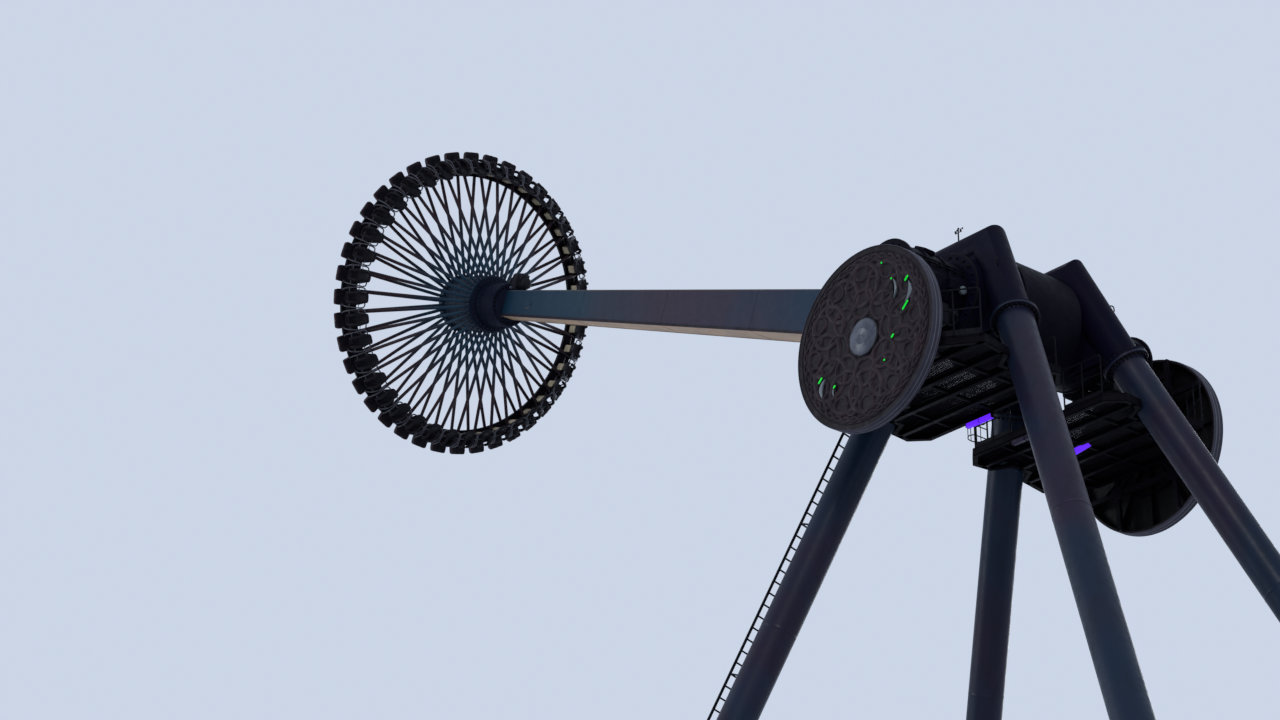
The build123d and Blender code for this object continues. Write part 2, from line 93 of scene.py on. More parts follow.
ARM_S, ARM_H, ARM_W = (1.25, 20.80), (1.325, 0.758), (1.174, 0.400)
ARM_SEAMS, GIRDER_END = (5.2, 9.1, 13.0, 16.9), 20.78
RING_R, RING_TUBE, HUB_R, HUB_TOP = 3.96, 0.097, 0.78, 1.56
SEATS, SPOKE_TURN, SEAT_TURN = 40, math.radians(2.2), math.radians(5.1)


# Shapes: each is (points, faces), closed, and joined or placed as needed
def axes(origin, z_dir, x_dir):
    """A frame as a 4 x 4 matrix, its x as near as can be to x_dir."""
    z = unit(np.asarray(z_dir, float))
    x = np.asarray(x_dir, float)
    x = unit(x - z * x.dot(z))
    matrix = np.eye(4)
    matrix[:3, :4] = np.column_stack((x, np.cross(z, x), z, origin))
    return matrix


def shift(x=0, y=0, z=0):
    matrix = np.eye(4)
    matrix[:3, 3] = (x, y, z)
    return matrix


def turned(turn, x=0, y=0):
    """A frame turned about z."""
    return axes((x, y, 0), Z, (*polar(1, turn), 0))


def facing_left(y, z=PIVOT[2]):
    """A frame on the middle plane whose z points out to the left side."""
    return axes((0, y, z), LEFT, X)


def placed(shape, *matrices):
    """The shape set in a frame, or in several."""
    return joined([(shape[0] @ m[:3, :3].T + m[:3, 3], shape[1]) for m in matrices])


def flipped(shape, *signs):
    return shape[0] * np.array(signs, float), shape[1]


def joined(shapes):
    points, faces, start = [], [], 0
    for own_points, own_faces in shapes:
        points.append(own_points)
        faces += [[index + start for index in face] for face in own_faces]
        start += len(own_points)
    return np.vstack(points), faces


class Group(list):
    """The shapes of one piece."""

    def add(self, shape, *frames):
        self.append(placed(shape, *frames) if frames else shape)


def lofted(rings, closed=False):
    """A skin over rings of equally many points, capped unless the rings run round."""
    rings = np.asarray(rings, float)
    count, size = rings.shape[:2]
    faces = []
    for i in range(count if closed else count - 1):
        a, b = i * size, (i + 1) % count * size
        faces += [[a + j, a + (j + 1) % size, b + (j + 1) % size, b + j] for j in range(size)]
    if not closed:
        faces += [list(range(size)), list(range((count - 1) * size, count * size))]
    return rings.reshape(-1, 3), faces


def lathe(profile, sides=48, closed=False):
    """Radius and height pairs, turned about z."""
    turn = turns(sides)
    return lofted([np.column_stack((r * np.cos(turn), r * np.sin(turn), np.full(sides, h)))
                   for r, h in profile], closed)


def collar(inner, outer, low, high, edge=0.006, sides=64):
    """A ring with broken edges."""
    return lathe([(inner, low), (outer - edge, low), (outer, low + edge), (outer, high - edge),
                  (outer - edge, high), (inner, high)], sides, True)


def directions(path, closed):
    """The way a path runs at each of its points."""
    ahead = np.roll(path, -1, 0) - np.roll(path, 1, 0) if closed else np.gradient(path, axis=0)
    return ahead / np.linalg.norm(ahead, axis=1, keepdims=True)


def tube(path, radius, sides=10, closed=False):
    """A round bar along a path. The radius may change along it."""
    path = np.asarray(path, float)
    ahead = directions(path, closed)
    radii = np.broadcast_to(radius, len(path))
    side = np.cross(ahead[0], Z if abs(ahead[0][2]) < 0.9 else X)
    turn = turns(sides)[:, None]
    rings = []
    for point, direction, size in zip(path, ahead, radii):
        side = unit(side - direction * side.dot(direction))
        up = np.cross(direction, side)
        rings.append(point + size * (np.cos(turn) * side + np.sin(turn) * up))
    return lofted(rings, closed)


def rounded(corners, radius, steps=5):
    """A path with its inner corners rounded."""
    corners = [np.asarray(c, float) for c in corners]
    path = [corners[0]]
    for before, corner, after in zip(corners, corners[1:], corners[2:]):
        a, b = corner + unit(before - corner) * radius, corner + unit(after - corner) * radius
        for t in np.linspace(0, 1, steps):
            path.append(a * (1 - t) ** 2 + corner * 2 * t * (1 - t) + b * t ** 2)
    return path + [corners[-1]]


def smooth_path(points, steps=5):
    """A soft curve through the points."""
    points = [np.asarray(p, float) for p in points]
    points = [2 * points[0] - points[1]] + points + [2 * points[-1] - points[-2]]
    path = []
    for a, b, c, d in zip(points, points[1:], points[2:], points[3:]):
        for t in np.linspace(0, 1, steps, endpoint=False):
            path.append(0.5 * (2 * b + (c - a) * t + (2 * a - 5 * b + 4 * c - d) * t ** 2
                               + (3 * b - a - 3 * c + d) * t ** 3))
    return path + [points[-2]]


def block(x, y, z, edge=0.004):
    """A box with broken edges, its middle on the origin."""
    hx, hy, hz = x / 2, y / 2, z / 2

    def ring(height, inset_by):
        a, b = hx - inset_by, hy - inset_by
        return [(a, -b + edge, height), (a, b - edge, height), (a - edge, b, height),
                (-a + edge, b, height), (-a, b - edge, height), (-a, -b + edge, height),
                (-a + edge, -b, height), (a - edge, -b, height)]
    return lofted([ring(-hz, edge), ring(-hz + edge, 0), ring(hz - edge, 0), ring(hz, edge)])


def inset(outline, amount):
    """An outline drawn in by an amount, corner by corner."""
    outline = np.asarray(outline, float)
    before, after = np.roll(outline, 1, 0), np.roll(outline, -1, 0)
    a = (outline - before) / np.linalg.norm(outline - before, axis=1, keepdims=True)
    b = (after - outline) / np.linalg.norm(after - outline, axis=1, keepdims=True)
    area = np.sum(outline[:, 0] * after[:, 1] - outline[:, 1] * after[:, 0])
    normal = np.column_stack((-(a + b)[:, 1], (a + b)[:, 0])) * np.sign(area)
    return outline + normal / np.maximum(1 + np.sum(a * b, axis=1), 0.2)[:, None] * amount


def prism(outline, depth, edge=0.0):
    """A flat outline in x and y, raised along z, its edges broken."""
    levels = ((0, edge), (edge, 0), (depth - edge, 0), (depth, edge)) if edge else ((0, 0), (depth, 0))
    return lofted([np.column_stack((inset(outline, inset_by), np.full(len(outline), height)))
                   for height, inset_by in levels])


def bar(start, end, width, height, up=Z, edge=0.004):
    """A rectangular bar between two points."""
    start, end = np.asarray(start, float), np.asarray(end, float)
    length = np.linalg.norm(end - start)
    return placed(block(height, width, length, edge), axes((start + end) / 2, end - start, up))


def bolt(size, stud=True):
    """A hexagon head or nut on a washer, with the end of its thread."""
    shapes = [lathe([(size * 1.25, 0), (size * 1.25, size * 0.16), (size * 1.15, size * 0.22)], 12),
              lathe([(size, size * 0.2), (size, size * 0.9), (size * 0.82, size * 1.05)], 6)]
    if stud:
        shapes.append(lathe([(size * 0.5, size), (size * 0.5, size * 1.5), (size * 0.4, size * 1.6)], 8))
    return joined(shapes)


def circle_of(shape, radius, count, where, start=0.0):
    """A shape repeated on a circle in a frame's x-y plane, its z kept."""
    return placed(shape, *[where @ turned(turn, *polar(radius, turn)) for turn in turns(count, start)])


def toothed(count, steps):
    """A toothed outline. Each step is a share of the pitch and a radius."""
    return [polar(radius, 2 * math.pi * (k + step) / count) for k in range(count) for step, radius in steps]


# Materials
def srgb(r, g, b):
    """A colour as it looks on a screen, 0 to 255, made linear."""
    return tuple(((c / 255 + 0.055) / 1.055) ** 2.4 if c > 10 else c / 255 / 12.92 for c in (r, g, b))


def stops(*rows):
    """Stops of a ramp from rows of position, red, green and blue."""
    return [(position, srgb(*colour)) for position, *colour in rows]


class Tree:
    """A node tree under construction."""

    def __init__(self, tree):
        self.tree = tree

    def fill(self, node, inputs):
        """Set or link a node's inputs, by name or number."""
        for key, value in inputs.items():
            socket = node.inputs[key]
            if isinstance(value, bpy.types.NodeSocket):
                self.tree.links.new(value, socket)
            elif isinstance(value, tuple) and len(value) < len(socket.default_value):
                socket.default_value = (*value, 1)
            else:
                socket.default_value = value

    def new(self, kind, inputs=None, **values):
        node = self.tree.nodes.new(kind)
        for key, value in values.items():
            setattr(node, key, value)
        self.fill(node, inputs or {})
        return node

    def maths(self, operation, a, b=0.0):
        return self.new("ShaderNodeMath", {0: a, 1: b}, operation=operation).outputs[0]

    def vectors(self, operation, *values):
        return self.new("ShaderNodeVectorMath", dict(enumerate(values)), operation=operation).outputs


materials = {}


class Shader(Tree):
    """A principled material, kept under its name."""

    def __init__(self, name, roughness=0.5, metallic=0.0, specular=0.3):
        self.material = materials[name] = bpy.data.materials.new(name)
        self.material.use_nodes = True
        super().__init__(self.material.node_tree)
        self.bsdf = self.tree.nodes["Principled BSDF"]
        self.fill(self.bsdf, {"Roughness": roughness, "Metallic": metallic, "Specular IOR Level": specular})
        self.coords = self.new("ShaderNodeTexCoord").outputs

    def stretched(self, stretch):
        mapping = {"Scale": stretch, "Vector": self.coords["Object"]}
        return self.new("ShaderNodeMapping", mapping).outputs["Vector"]

    def noise(self, scale, detail=3, stretch=(1, 1, 1), rough=0.5, warp=0.0):
        return self.new("ShaderNodeTexNoise", {
            "Vector": self.stretched(stretch), "Scale": scale, "Detail": detail, "Roughness": rough,
            "Distortion": warp}).outputs["Fac"]

    def cells(self, scale, stretch):
        return self.new("ShaderNodeTexVoronoi", {
            "Vector": self.stretched(stretch), "Scale": scale}).outputs["Distance"]

    def ramp(self, fac, rows):
        node = self.new("ShaderNodeValToRGB", {"Fac": fac})
        elements = node.color_ramp.elements
        while len(elements) < len(rows):
            elements.new(0.5)
        for element, (position, colour) in zip(elements, rows):
            element.position = position
            element.color = (*colour, 1)
        return node.outputs["Color"]

    def mix(self, fac, a, b):
        return self.new("ShaderNodeMix", {0: fac, 6: a, 7: b}, data_type="RGBA", blend_type="MIX").outputs[2]

    def span(self, value, low, high, to_low=0.0, to_high=1.0):
        return self.new("ShaderNodeMapRange", {
            "Value": value, "From Min": low, "From Max": high, "To Min": to_low,
            "To Max": to_high}).outputs["Result"]

    def away(self, origin, of="Object"):
        return self.vectors("SUBTRACT", self.coords[of], tuple(origin))[0]

    def along(self, direction, origin=(0, 0, 0), of="Object"):
        """How far a point lies, or a surface faces, along a direction of the ride."""
        return self.vectors("DOT_PRODUCT", self.away(origin, of), tuple(direction))["Value"]

    def around(self, direction, origin):
        """Distance from a line."""
        cross = self.vectors("CROSS_PRODUCT", self.away(origin), tuple(direction))[0]
        return self.vectors("LENGTH", cross)["Value"]

    def finish(self, colour, dirt=0.3, rough=(0.38, 0.55), grain=60, depth=0.003, coat=0.0):
        """Colour under streaks, chips and dust, with an uneven gloss and a fine grain."""
        stain = self.span(self.noise(1.5, 6, (2.4, 2.4, 0.25), 0.64), 0.46, 0.72, 0.0, dirt)
        chips = self.span(self.noise(34, 5, rough=0.7), 0.70, 0.76, 0.0, 0.55)
        worn = self.mix(chips, self.mix(stain, colour, srgb(20, 19, 22)), srgb(84, 80, 82))
        gloss = self.maths("ADD", self.span(self.noise(6, 5), 0.3, 0.7, *rough),
                           self.maths("MULTIPLY", stain, 0.3))
        height = self.maths("SUBTRACT", self.noise(grain, 4), self.maths("MULTIPLY", chips, 0.6))
        bump = self.new("ShaderNodeBump", {"Strength": 0.35, "Distance": depth, "Height": height})
        self.fill(self.bsdf, {"Base Color": worn, "Roughness": gloss, "Coat Weight": coat,
                              "Coat Roughness": 0.25, "Normal": bump.outputs["Normal"]})


def shift_paint(name, rows, coat=0.06, specular=0.12):
    """Paint that changes between teal and purple over metres."""
    s = Shader(name, specular=specular)
    wide, fine = s.noise(0.17, 3, (1, 1, 0.7), 0.55, 0.4), s.noise(1.1, 4)
    place = s.maths("ADD", s.maths("MULTIPLY", wide, 0.86), s.maths("MULTIPLY", fine, 0.14))
    s.finish(s.ramp(place, rows), 0.35, (0.34, 0.5), 70, 0.002, coat)


def plain(name, first, second, rough=(0.42, 0.6), metallic=0.0, specular=0.12, scale=1.6, grain=80,
          depth=0.003):
    """Patches of two near colours."""
    s = Shader(name, metallic=metallic, specular=specular)
    patches = s.ramp(s.noise(scale, 5, rough=0.6), stops((0.34, *first), (0.68, *second)))
    s.finish(patches, 0.3, rough, grain, depth)


def arm_paint():
    """The same paint along the arm, and a painted warm light in cream on its underside."""
    s = Shader("arm_paint", specular=0.12)
    place = s.maths("ADD", s.along(ARM_DIR / 24, PIVOT), s.span(s.noise(0.35, 3), 0.3, 0.7, -0.05, 0.05))
    sides = s.ramp(place, stops(
        (0.12, 16, 44, 66), (0.30, 20, 46, 68), (0.42, 46, 42, 60), (0.58, 52, 44, 60), (0.70, 32, 54, 70),
        (0.86, 18, 48, 70)))
    # Painted light: faces that point down turn cream, standing in for warm light falling on the underside.
    underside_light_mask = s.span(s.along((-math.sin(ARM_RAISE), 0, -math.cos(ARM_RAISE)), of="Normal"), 0.6, 0.8)
    painted_underside_light = s.ramp(s.noise(0.8, 5), stops((0.3, 196, 164, 132), (0.7, 164, 138, 114)))
    s.finish(s.mix(underside_light_mask, sides, painted_underside_light), 0.12, (0.4, 0.55), 60, 0.002, 0.05)


def gondola_paint():
    """Teal at the hub, wine red at the ring."""
    s = Shader("gondola_paint", specular=0.12)
    place = s.maths("ADD", s.maths("MULTIPLY", s.around(ARM_DIR, GONDOLA), 0.25),
                    s.span(s.noise(1.4, 4), 0.3, 0.7, -0.06, 0.06))
    colour = s.ramp(place, stops(
        (0.19, 16, 28, 46), (0.30, 26, 56, 76), (0.48, 30, 42, 58), (0.72, 44, 28, 36), (0.94, 38, 28, 36)))
    s.finish(colour, 0.25, (0.4, 0.55), 70, 0.002, 0.05)


def disc_finish(name, tone, shell=False):
    """Cast ornament. On the shell the rim is a paler grey, and the hollow inside is painted almost black as
    shade.
    """
    s = Shader(name, specular=0.14)
    r, g, b = tone
    colour = s.ramp(s.noise(1.7, 6, rough=0.62, warp=0.5), stops(
        (0.32, r * 0.72, g * 0.72, b * 0.72), (0.5, r, g, b), (0.68, r * 1.2, g * 1.12, b * 1.1)))
    patina = s.span(s.cells(5, (1, 1, 1.4)), 0.1, 0.6, 0.25, 0.0)
    colour = s.mix(patina, colour, srgb(22, 20, 28))
    if shell:
        inside, rim = 2.12, (2.145, 2.165)
        radius = s.around(Y, (0, 0, DISC_Z))
        depth = s.maths("ABSOLUTE", s.along(Y))
        # Painted shade: inside the dish, behind its face, the colour goes almost black.
        painted_shade_inside = s.maths("MULTIPLY", s.maths("LESS_THAN", depth, DISC_FACE - 0.05),
                         s.maths("LESS_THAN", radius, inside))
        colour = s.mix(s.span(radius, *rim), colour, srgb(60, 60, 73))
        colour = s.mix(painted_shade_inside, colour, srgb(7, 6, 10))
    s.finish(colour, 0.35, (0.45, 0.65), 26, 0.008)


def glowing(name, colour, glow):
    s = Shader(name, specular=0.15)
    s.fill(s.bsdf, {"Emission Color": glow, "Emission Strength": 1.0})
    shade = s.ramp(s.noise(5, 4), [(0.3, tuple(c * 0.86 for c in srgb(*colour))), (0.7, srgb(*colour))])
    s.finish(shade, 0.12, (0.12, 0.25), 90, 0.001)


shift_paint("tower_paint", stops(
    (0.36, 12, 36, 58), (0.46, 22, 34, 54), (0.55, 35, 28, 48), (0.66, 24, 40, 60)))
shift_paint("head_paint", stops(
    (0.36, 10, 18, 36), (0.46, 12, 15, 34), (0.55, 17, 12, 31), (0.66, 12, 19, 38)), 0.0, 0.03)
arm_paint()
gondola_paint()
# The arm lips' darker brown is painted shade along the lower edges of the girder.
plain("arm_lip_painted_shade", (28, 25, 36), (40, 34, 45))
plain("bearing_paint", (20, 24, 40), (30, 34, 51), specular=0.03)
plain("drive_paint", (9, 8, 18), (16, 14, 27), specular=0.03)
plain("motor_paint", (16, 17, 25), (26, 26, 34), scale=4)
plain("grating", (14, 13, 20), (22, 21, 29), scale=3, specular=0.05)
plain("deck_steel", (6, 5, 11), (12, 10, 18), specular=0.03)
plain("galvanised", (92, 96, 104), (122, 126, 132), (0.42, 0.6), 0.7, scale=22)
plain("access_steel", (12, 12, 20), (20, 20, 29), scale=9, specular=0.05)
plain("dark_steel", (9, 8, 15), (17, 15, 24), specular=0.06)
disc_finish("disc_finish", (24, 18, 25), True)
disc_finish("disc_relief", (40, 31, 38))
disc_finish("disc_rim", (24, 23, 31))
plain("rim_band", (84, 86, 100), (104, 106, 118), metallic=0.2)
# Pale grey: the drive lamps' own enamel, and on the disc crescents a painted glow from the green lamps.
plain("enamel_and_painted_glow", (78, 90, 100), (104, 114, 122), (0.25, 0.4), specular=0.3)
plain("lamp_glass", (56, 62, 76), (80, 85, 100), (0.2, 0.35), specular=0.3, scale=7)
glowing("led_green", (0, 50, 14), (0.0, 0.7, 0.03))
glowing("lamp_violet", (22, 8, 90), (0.14, 0.02, 1.0))
plain("violet_off", (30, 18, 50), (40, 26, 62), (0.2, 0.35))
plain("seat_shell", (12, 11, 18), (23, 20, 29), (0.45, 0.62), scale=9, grain=240, depth=0.001)
plain("seat_foam", (15, 14, 20), (25, 23, 30), (0.7, 0.85), scale=14, grain=420, depth=0.002)
plain("seat_trim", (52, 16, 28), (70, 24, 36), scale=12)
plain("restraint_finish", (58, 59, 68), (86, 86, 95), (0.3, 0.45), 0.2, scale=10)
plain("panel_finish", (150, 140, 120), (182, 172, 150), scale=5, grain=160, depth=0.001)
ON_NODES = {"arm_hub": "drive_paint", "gondola_bearing": "bearing_paint", "arm_flange": "bearing_paint"}


def piece(name, shapes, body, slot, replaces=(), material=None, smooth=38):
    """A finished piece of the scene: its mesh, its body, its slot and the CAD nodes it stands for."""
    points, faces = joined(shapes)
    mesh = bpy.data.meshes.new(name)
    mesh.from_pydata(points.tolist(), [], faces)
    shell = bmesh.new()
    shell.from_mesh(mesh)
    bmesh.ops.recalc_face_normals(shell, faces=shell.faces)
    shell.to_mesh(mesh)
    shell.free()
    mesh.shade_smooth()
    mesh.set_sharp_from_angle(angle=math.radians(smooth))
    mesh.materials.append(materials[material or slot])
    obj = bpy.data.objects.new(name, mesh)
    bpy.context.scene.collection.objects.link(obj)
    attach(obj, body)
    if replaces:
        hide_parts(*replaces)


def both_sides(name, shapes, slot, replaces=(), material=None):
    """The left side's piece and its mirror on the right side."""
    shape = joined(shapes)
    for side, sign in (("left", 1), ("right", -1)):
        piece(f"{side}_{name}", [flipped(shape, 1, sign, 1)], "structure", slot,
              [f"{side}_{node}" for node in replaces], material)


for part in frame["record"]["subparts"]:
    mesh = nodes[part["node"]].data
    mesh.materials.clear()
    mesh.materials.append(materials[ON_NODES.get(part["node"], part["material_slot"])])


# Legs: tubes with weld seams, a bolted flange and gussets
leg_frame, head_frame = axes(SPLICE, LEG_DIR, Y), axes(SPLICE, -LEG_DIR, Y)
weld = [(LEG_R - 0.005, FLANGE_T), (LEG_R + 0.03, FLANGE_T), (LEG_R - 0.003, FLANGE_T + 0.04)]
flange = joined([collar(LEG_R - 0.01, FLANGE_R, 0, FLANGE_T), lathe(weld, 64, True)])


def leg_ring(radius, count=64):
    """Points round the leg at its splice."""
    turn = turns(count)[:, None]
    return SPLICE + radius * (np.cos(turn) * leg_frame[:3, 0] + np.sin(turn) * leg_frame[:3, 1])


def on_base(points):
    """The points carried along the leg to its base plate."""
    return points + ((points[:, 2] - BASE_T) / -LEG_DIR[2])[:, None] * LEG_DIR


rings = [leg_ring(LEG_R) + LEG_DIR * FLANGE_T * 0.5]
for share in (0.25, 0.5, 0.75):
    seam = share * (SPLICE[2] - BASE_T) / -LEG_DIR[2]
    rings += [leg_ring(LEG_R + proud) + LEG_DIR * (seam + step) for step, proud in
              ((-0.06, 0), (-0.018, 0), (-0.009, 0.004), (0.009, 0.004), (0.018, 0), (0.06, 0))]
leg = Group([lofted(rings + [on_base(leg_ring(LEG_R))]), placed(flange, leg_frame)])
gusset = [(0.2, 0), (LEG_R + 0.33, 0), (LEG_R + 0.33, 0.03), (LEG_R, 0.70), (0.2, 0.70)]
for out in (X, (-1, 0, 0), Y, LEFT):
    leg.add(prism(gusset, 0.03, 0.005),
            axes((FOOT[0], FOOT[1], BASE_T), np.cross(out, Z), out) @ shift(z=-0.015))
leg = joined(leg)

bolt_circle = LEG_R + 0.07
nuts = circle_of(bolt(0.042), bolt_circle, FLANGE_BOLTS, leg_frame @ shift(z=FLANGE_T))
heads = circle_of(bolt(0.042, False), bolt_circle, FLANGE_BOLTS, head_frame @ shift(z=FLANGE_T))
anchor = joined([bolt(0.048), placed(block(0.16, 0.16, 0.02), shift(z=0.01))])
anchors = placed(anchor, *[shift(FOOT[0] + x, FOOT[1] + y, BASE_T)
                           for x in (-ANCHOR, ANCHOR) for y in (-ANCHOR, ANCHOR)])
base_weld = tube(on_base(leg_ring(LEG_R * 1.02, 48)) + vec(0, 0, 0.004), 0.018, 6, True)
corners = {"front_left": (1, 1), "rear_left": (-1, 1), "front_right": (1, -1), "rear_right": (-1, -1)}
for corner, (sx, sy) in corners.items():
    piece(f"{corner}_leg_tube", [flipped(leg, sx, sy, 1)], "structure", "tower_paint", [f"{corner}_leg"])
for name, shapes, slot in (("splice_bolts", (nuts, heads), "dark_steel"),
                           ("anchor_bolts", (anchors,), "galvanised"),
                           ("foot_welds", (base_weld,), "tower_paint")):
    piece(name, [flipped(s, sx, sy, 1) for s in shapes for sx, sy in corners.values()], "structure", slot)


# Heads: one tube, bent at two mitres, over webs and the bearing housing
def bent_tube():
    """The tube from splice to splice: round about x between the mitres, sheared to the splices' planes."""
    turn = turns(64)
    section = np.column_stack((0 * turn, HEAD_TOP[1] + LEG_R * np.cos(turn),
                               HEAD_TOP[2] + LEG_R * np.sin(turn)))
    rings = []
    for sx in (1, -1):
        corner, splice, leg_dir = HEAD_TOP * (sx, 1, 1), SPLICE * (sx, 1, 1), LEG_DIR * (sx, 1, 1)
        down = unit(splice - corner)
        mitre = down + vec(sx, 0, 0)
        ring = section.copy()
        ring[:, 0] = corner[0] - (section - corner * (0, 1, 1)) @ mitre / mitre[0]
        low = ring + ((splice - ring) @ leg_dir / down.dot(leg_dir))[:, None] * down
        rings += [low, ring][::sx]
    return lofted(rings)


head = Group([bent_tube()])
for sx in (1, -1):
    head.add(flange, axes(SPLICE * (sx, 1, 1), -LEG_DIR * (sx, 1, 1), Y))
web_x, _, web_z = HEAD_TOP - PIVOT
for y in (-1.494, -1.694):
    head.add(prism([(-SPLICE[0], -1.01), (SPLICE[0], -1.01), (web_x, web_z), (-web_x, web_z)], 0.04, 0.004),
             facing_left(y))
head.add(collar(AXLE_BORE, HOUSING_R, 0, HOUSING_Y[1] - HOUSING_Y[0], 0.015, 96), facing_left(-HOUSING_Y[0]))
both_sides("head_body", head, "tower_paint", ["head"], "head_paint")

outward = facing_left(-HOUSING_Y[1])
fittings = Group([circle_of(bolt(0.034), 0.95, 24, outward),
                  circle_of(bolt(0.026, False), 0.98, 24, axes((0, -HOUSING_Y[0], PIVOT[2]), Y, X))])
fittings.add(collar(HOUSING_R - 0.01, HOUSING_R + 0.03, -0.05, -0.004, 0.008), outward)
hook = rounded([(-0.09, 0, 0), (-0.09, 0, 0.14), (0.09, 0, 0.14), (0.09, 0, 0)], 0.07)
hook_out = unit(vec(0.62, -0.77, 0.1))
fittings.add(tube(hook, 0.016, 8),
             axes(SPLICE + unit(HEAD_TOP - SPLICE) * 1.72 + hook_out * (LEG_R - 0.03), hook_out, Z))
both_sides("head_fittings", fittings, "dark_steel")


# Drive housing: clamp lugs on its bands, bolts on its end, conduits and boxes along its side
def about_axle(degrees):
    """A direction away from the main axle, in degrees above +x."""
    return vec(math.cos(math.radians(degrees)), 0, math.sin(math.radians(degrees)))


drive = Group()
lug_z = PIVOT[2] + DRIVE_BAND_R
for k in range(3):
    y = -HOUSING_Y[1] - k * BAND_PITCH - BAND_WIDTH / 2
    drive.add(block(0.03, BAND_WIDTH, 0.12), shift(-0.05, y, lug_z + 0.045), shift(0.05, y, lug_z + 0.045))
    for x in (0.065, -0.065):
        drive.add(bolt(0.024, x > 0), axes((x, y, lug_z + 0.06), (x, 0, 0), Z))
drive_end = facing_left(-DRIVE_END_Y)
drive.add(circle_of(bolt(0.026, False), 0.72, 20, drive_end))
drive.add(collar(0.3, 0.62, 0, 0.03), drive_end)
conduit_r = DRIVE_BAND_R + 0.024
for degrees in (14, 20, 152, 158, 164):
    out = about_axle(degrees)
    near, far = PIVOT + vec(0, -2.32, 0), PIVOT + vec(0, -3.90, 0)
    drive.add(tube(rounded([near + out * 0.75, near + out * conduit_r, far + out * conduit_r,
                            far + out * 0.75], 0.05), 0.018, 8))
    for y in (-2.6, -3.1, -3.6):
        drive.add(block(0.05, 0.06, 0.04), axes(PIVOT + out * (conduit_r - 0.012) + vec(0, y, 0), Y, out))
for degrees, y, size in ((-12, -2.75, (0.16, 0.30, 0.24)), (-14, -3.35, (0.14, 0.42, 0.30)),
                         (186, -2.95, (0.15, 0.50, 0.28)), (60, -3.2, (0.10, 0.36, 0.36))):
    out = about_axle(degrees)
    box_frame = axes(PIVOT + out * (DRIVE_R + size[0] * 0.4) + vec(0, y, 0), np.cross(out, Y), out)
    drive.add(block(*size, 0.012), box_frame)
    drive.add(block(0.02, size[1] - 0.05, size[2] - 0.05, 0.006), box_frame @ shift(x=size[0] / 2))
both_sides("drive_fittings", drive, "drive_paint")
port = axes((0.776, -2.43, 25.2), (1, 0, -0.2), Y)
both_sides("drive_lamp", [placed(lathe([(0.10, 0), (0.10, 0.07), (0.085, 0.085), (0.05, 0.095)], 20), port)],
           "lamp_glass", material="enamel_and_painted_glow")

# Geared motors under the drive housing, with fins, end bells and terminal boxes
fin_ring = toothed(28, ((0, 0.150), (0.25, 0.150), (0.32, 0.186), (0.68, 0.186), (0.75, 0.150)))
motor = Group([placed(prism(fin_ring, 0.24), shift(z=z)) for z in (0.04, 0.62)])
for profile in ([(0.10, 0), (0.165, 0.01), (0.178, 0.03), (0.178, 0.06)],
                [(0.178, 0.84), (0.178, 0.87), (0.165, 0.89), (0.10, 0.90)],
                [(0.17, 0.27), (0.188, 0.28), (0.188, 0.31)], [(0.188, 0.59), (0.188, 0.62), (0.17, 0.63)]):
    motor.add(lathe(profile, 28))
for z, way in ((0.31, DOWN), (0.59, Z)):
    motor.add(bolt(0.016, False), *[axes((*polar(0.15, t), z), way, X) for t in (0.8, 2.4, 3.9, 5.5)])
motors = Group()
for sx in (-1, 1):
    x, gear_y = sx * MOTOR_X, MOTOR_Y - 0.45
    motors.add(joined(motor), axes((x, MOTOR_Y, MOTOR_Z), LEFT, X))
    motors.add(block(0.30, 0.30, 0.50, 0.02), shift(x, gear_y, MOTOR_Z - 0.035))
    motors.add(block(0.24, 0.24, 0.03, 0.006), shift(x, gear_y, MOTOR_Z - 0.275))
    motors.add(block(0.07, 0.14, 0.14, 0.01), shift(sx * (MOTOR_X + 0.20), MOTOR_Y - 0.15, MOTOR_Z + 0.02))
both_sides("drive_motor_units", motors, "motor_paint", ["drive_motors"])

# Deck: beams round the edge and across, and an open grating
deck_outline = DECK_SIDE + [(-x, y) for x, y in reversed(DECK_SIDE)]


def crossings(outline, axis, value):
    """Where a line at a value on one axis crosses the outline, along the other axis."""
    outline = np.asarray(outline, float)
    found = []
    for a, b in zip(outline, np.roll(outline, -1, 0)):
        if (a[axis] - value) * (b[axis] - value) < 0:
            found.append(a[1 - axis] + (b - a)[1 - axis] * (value - a[axis]) / (b - a)[axis])
    return sorted(found)


beams = Group()
low, top = DECK_Z - DECK_T, DECK_Z - 0.04
for width, z, depth in ((0.12, low, 0.014), (0.014, low, DECK_T), (0.12, top, 0.014)):
    inner = inset(deck_outline, width)
    for k in range(len(deck_outline)):
        after = (k + 1) % len(deck_outline)
        beams.add(prism([deck_outline[k], deck_outline[after], inner[after], inner[k]], depth), shift(z=z))
for y in DECK_CROSS:
    half = max(crossings(deck_outline, 1, -y)) - 0.02
    for z, width, height in ((low + 0.007, 0.12, 0.014), (low + 0.08, 0.012, 0.14),
                             (top + 0.007, 0.12, 0.014)):
        beams.add(block(2 * half, width, height, 0.002), shift(0, -y, z))
for x in (-1.3, 0, 1.3):
    for z, width, height in ((low + 0.05, 0.08, 0.010), (low + 0.10, 0.010, 0.10)):
        beams.add(block(width, 3.55, height, 0.002), shift(x, -2.55, z))
grating = Group()
bar_depth = 0.036
for k in range(-49, 50):
    along_y = crossings(deck_outline, 0, k * GRATING_PITCH + 0.001)
    for first, last in zip(along_y[::2], along_y[1::2]):
        if last - first > 0.1:
            grating.add(block(0.007, last - first - 0.04, bar_depth, 0.001),
                        shift(k * GRATING_PITCH, (first + last) / 2, DECK_Z - bar_depth / 2))
for k in range(10):
    y = -0.87 - 0.385 * k
    limit = max(crossings(deck_outline, 1, y)) - 0.02
    grating.add(tube([(-limit, y, DECK_Z - 0.008), (limit, y, DECK_Z - 0.008)], 0.006, 6))
both_sides("deck_beams", beams, "grating", ["deck"], "deck_steel")
both_sides("deck_grating", grating, "grating")


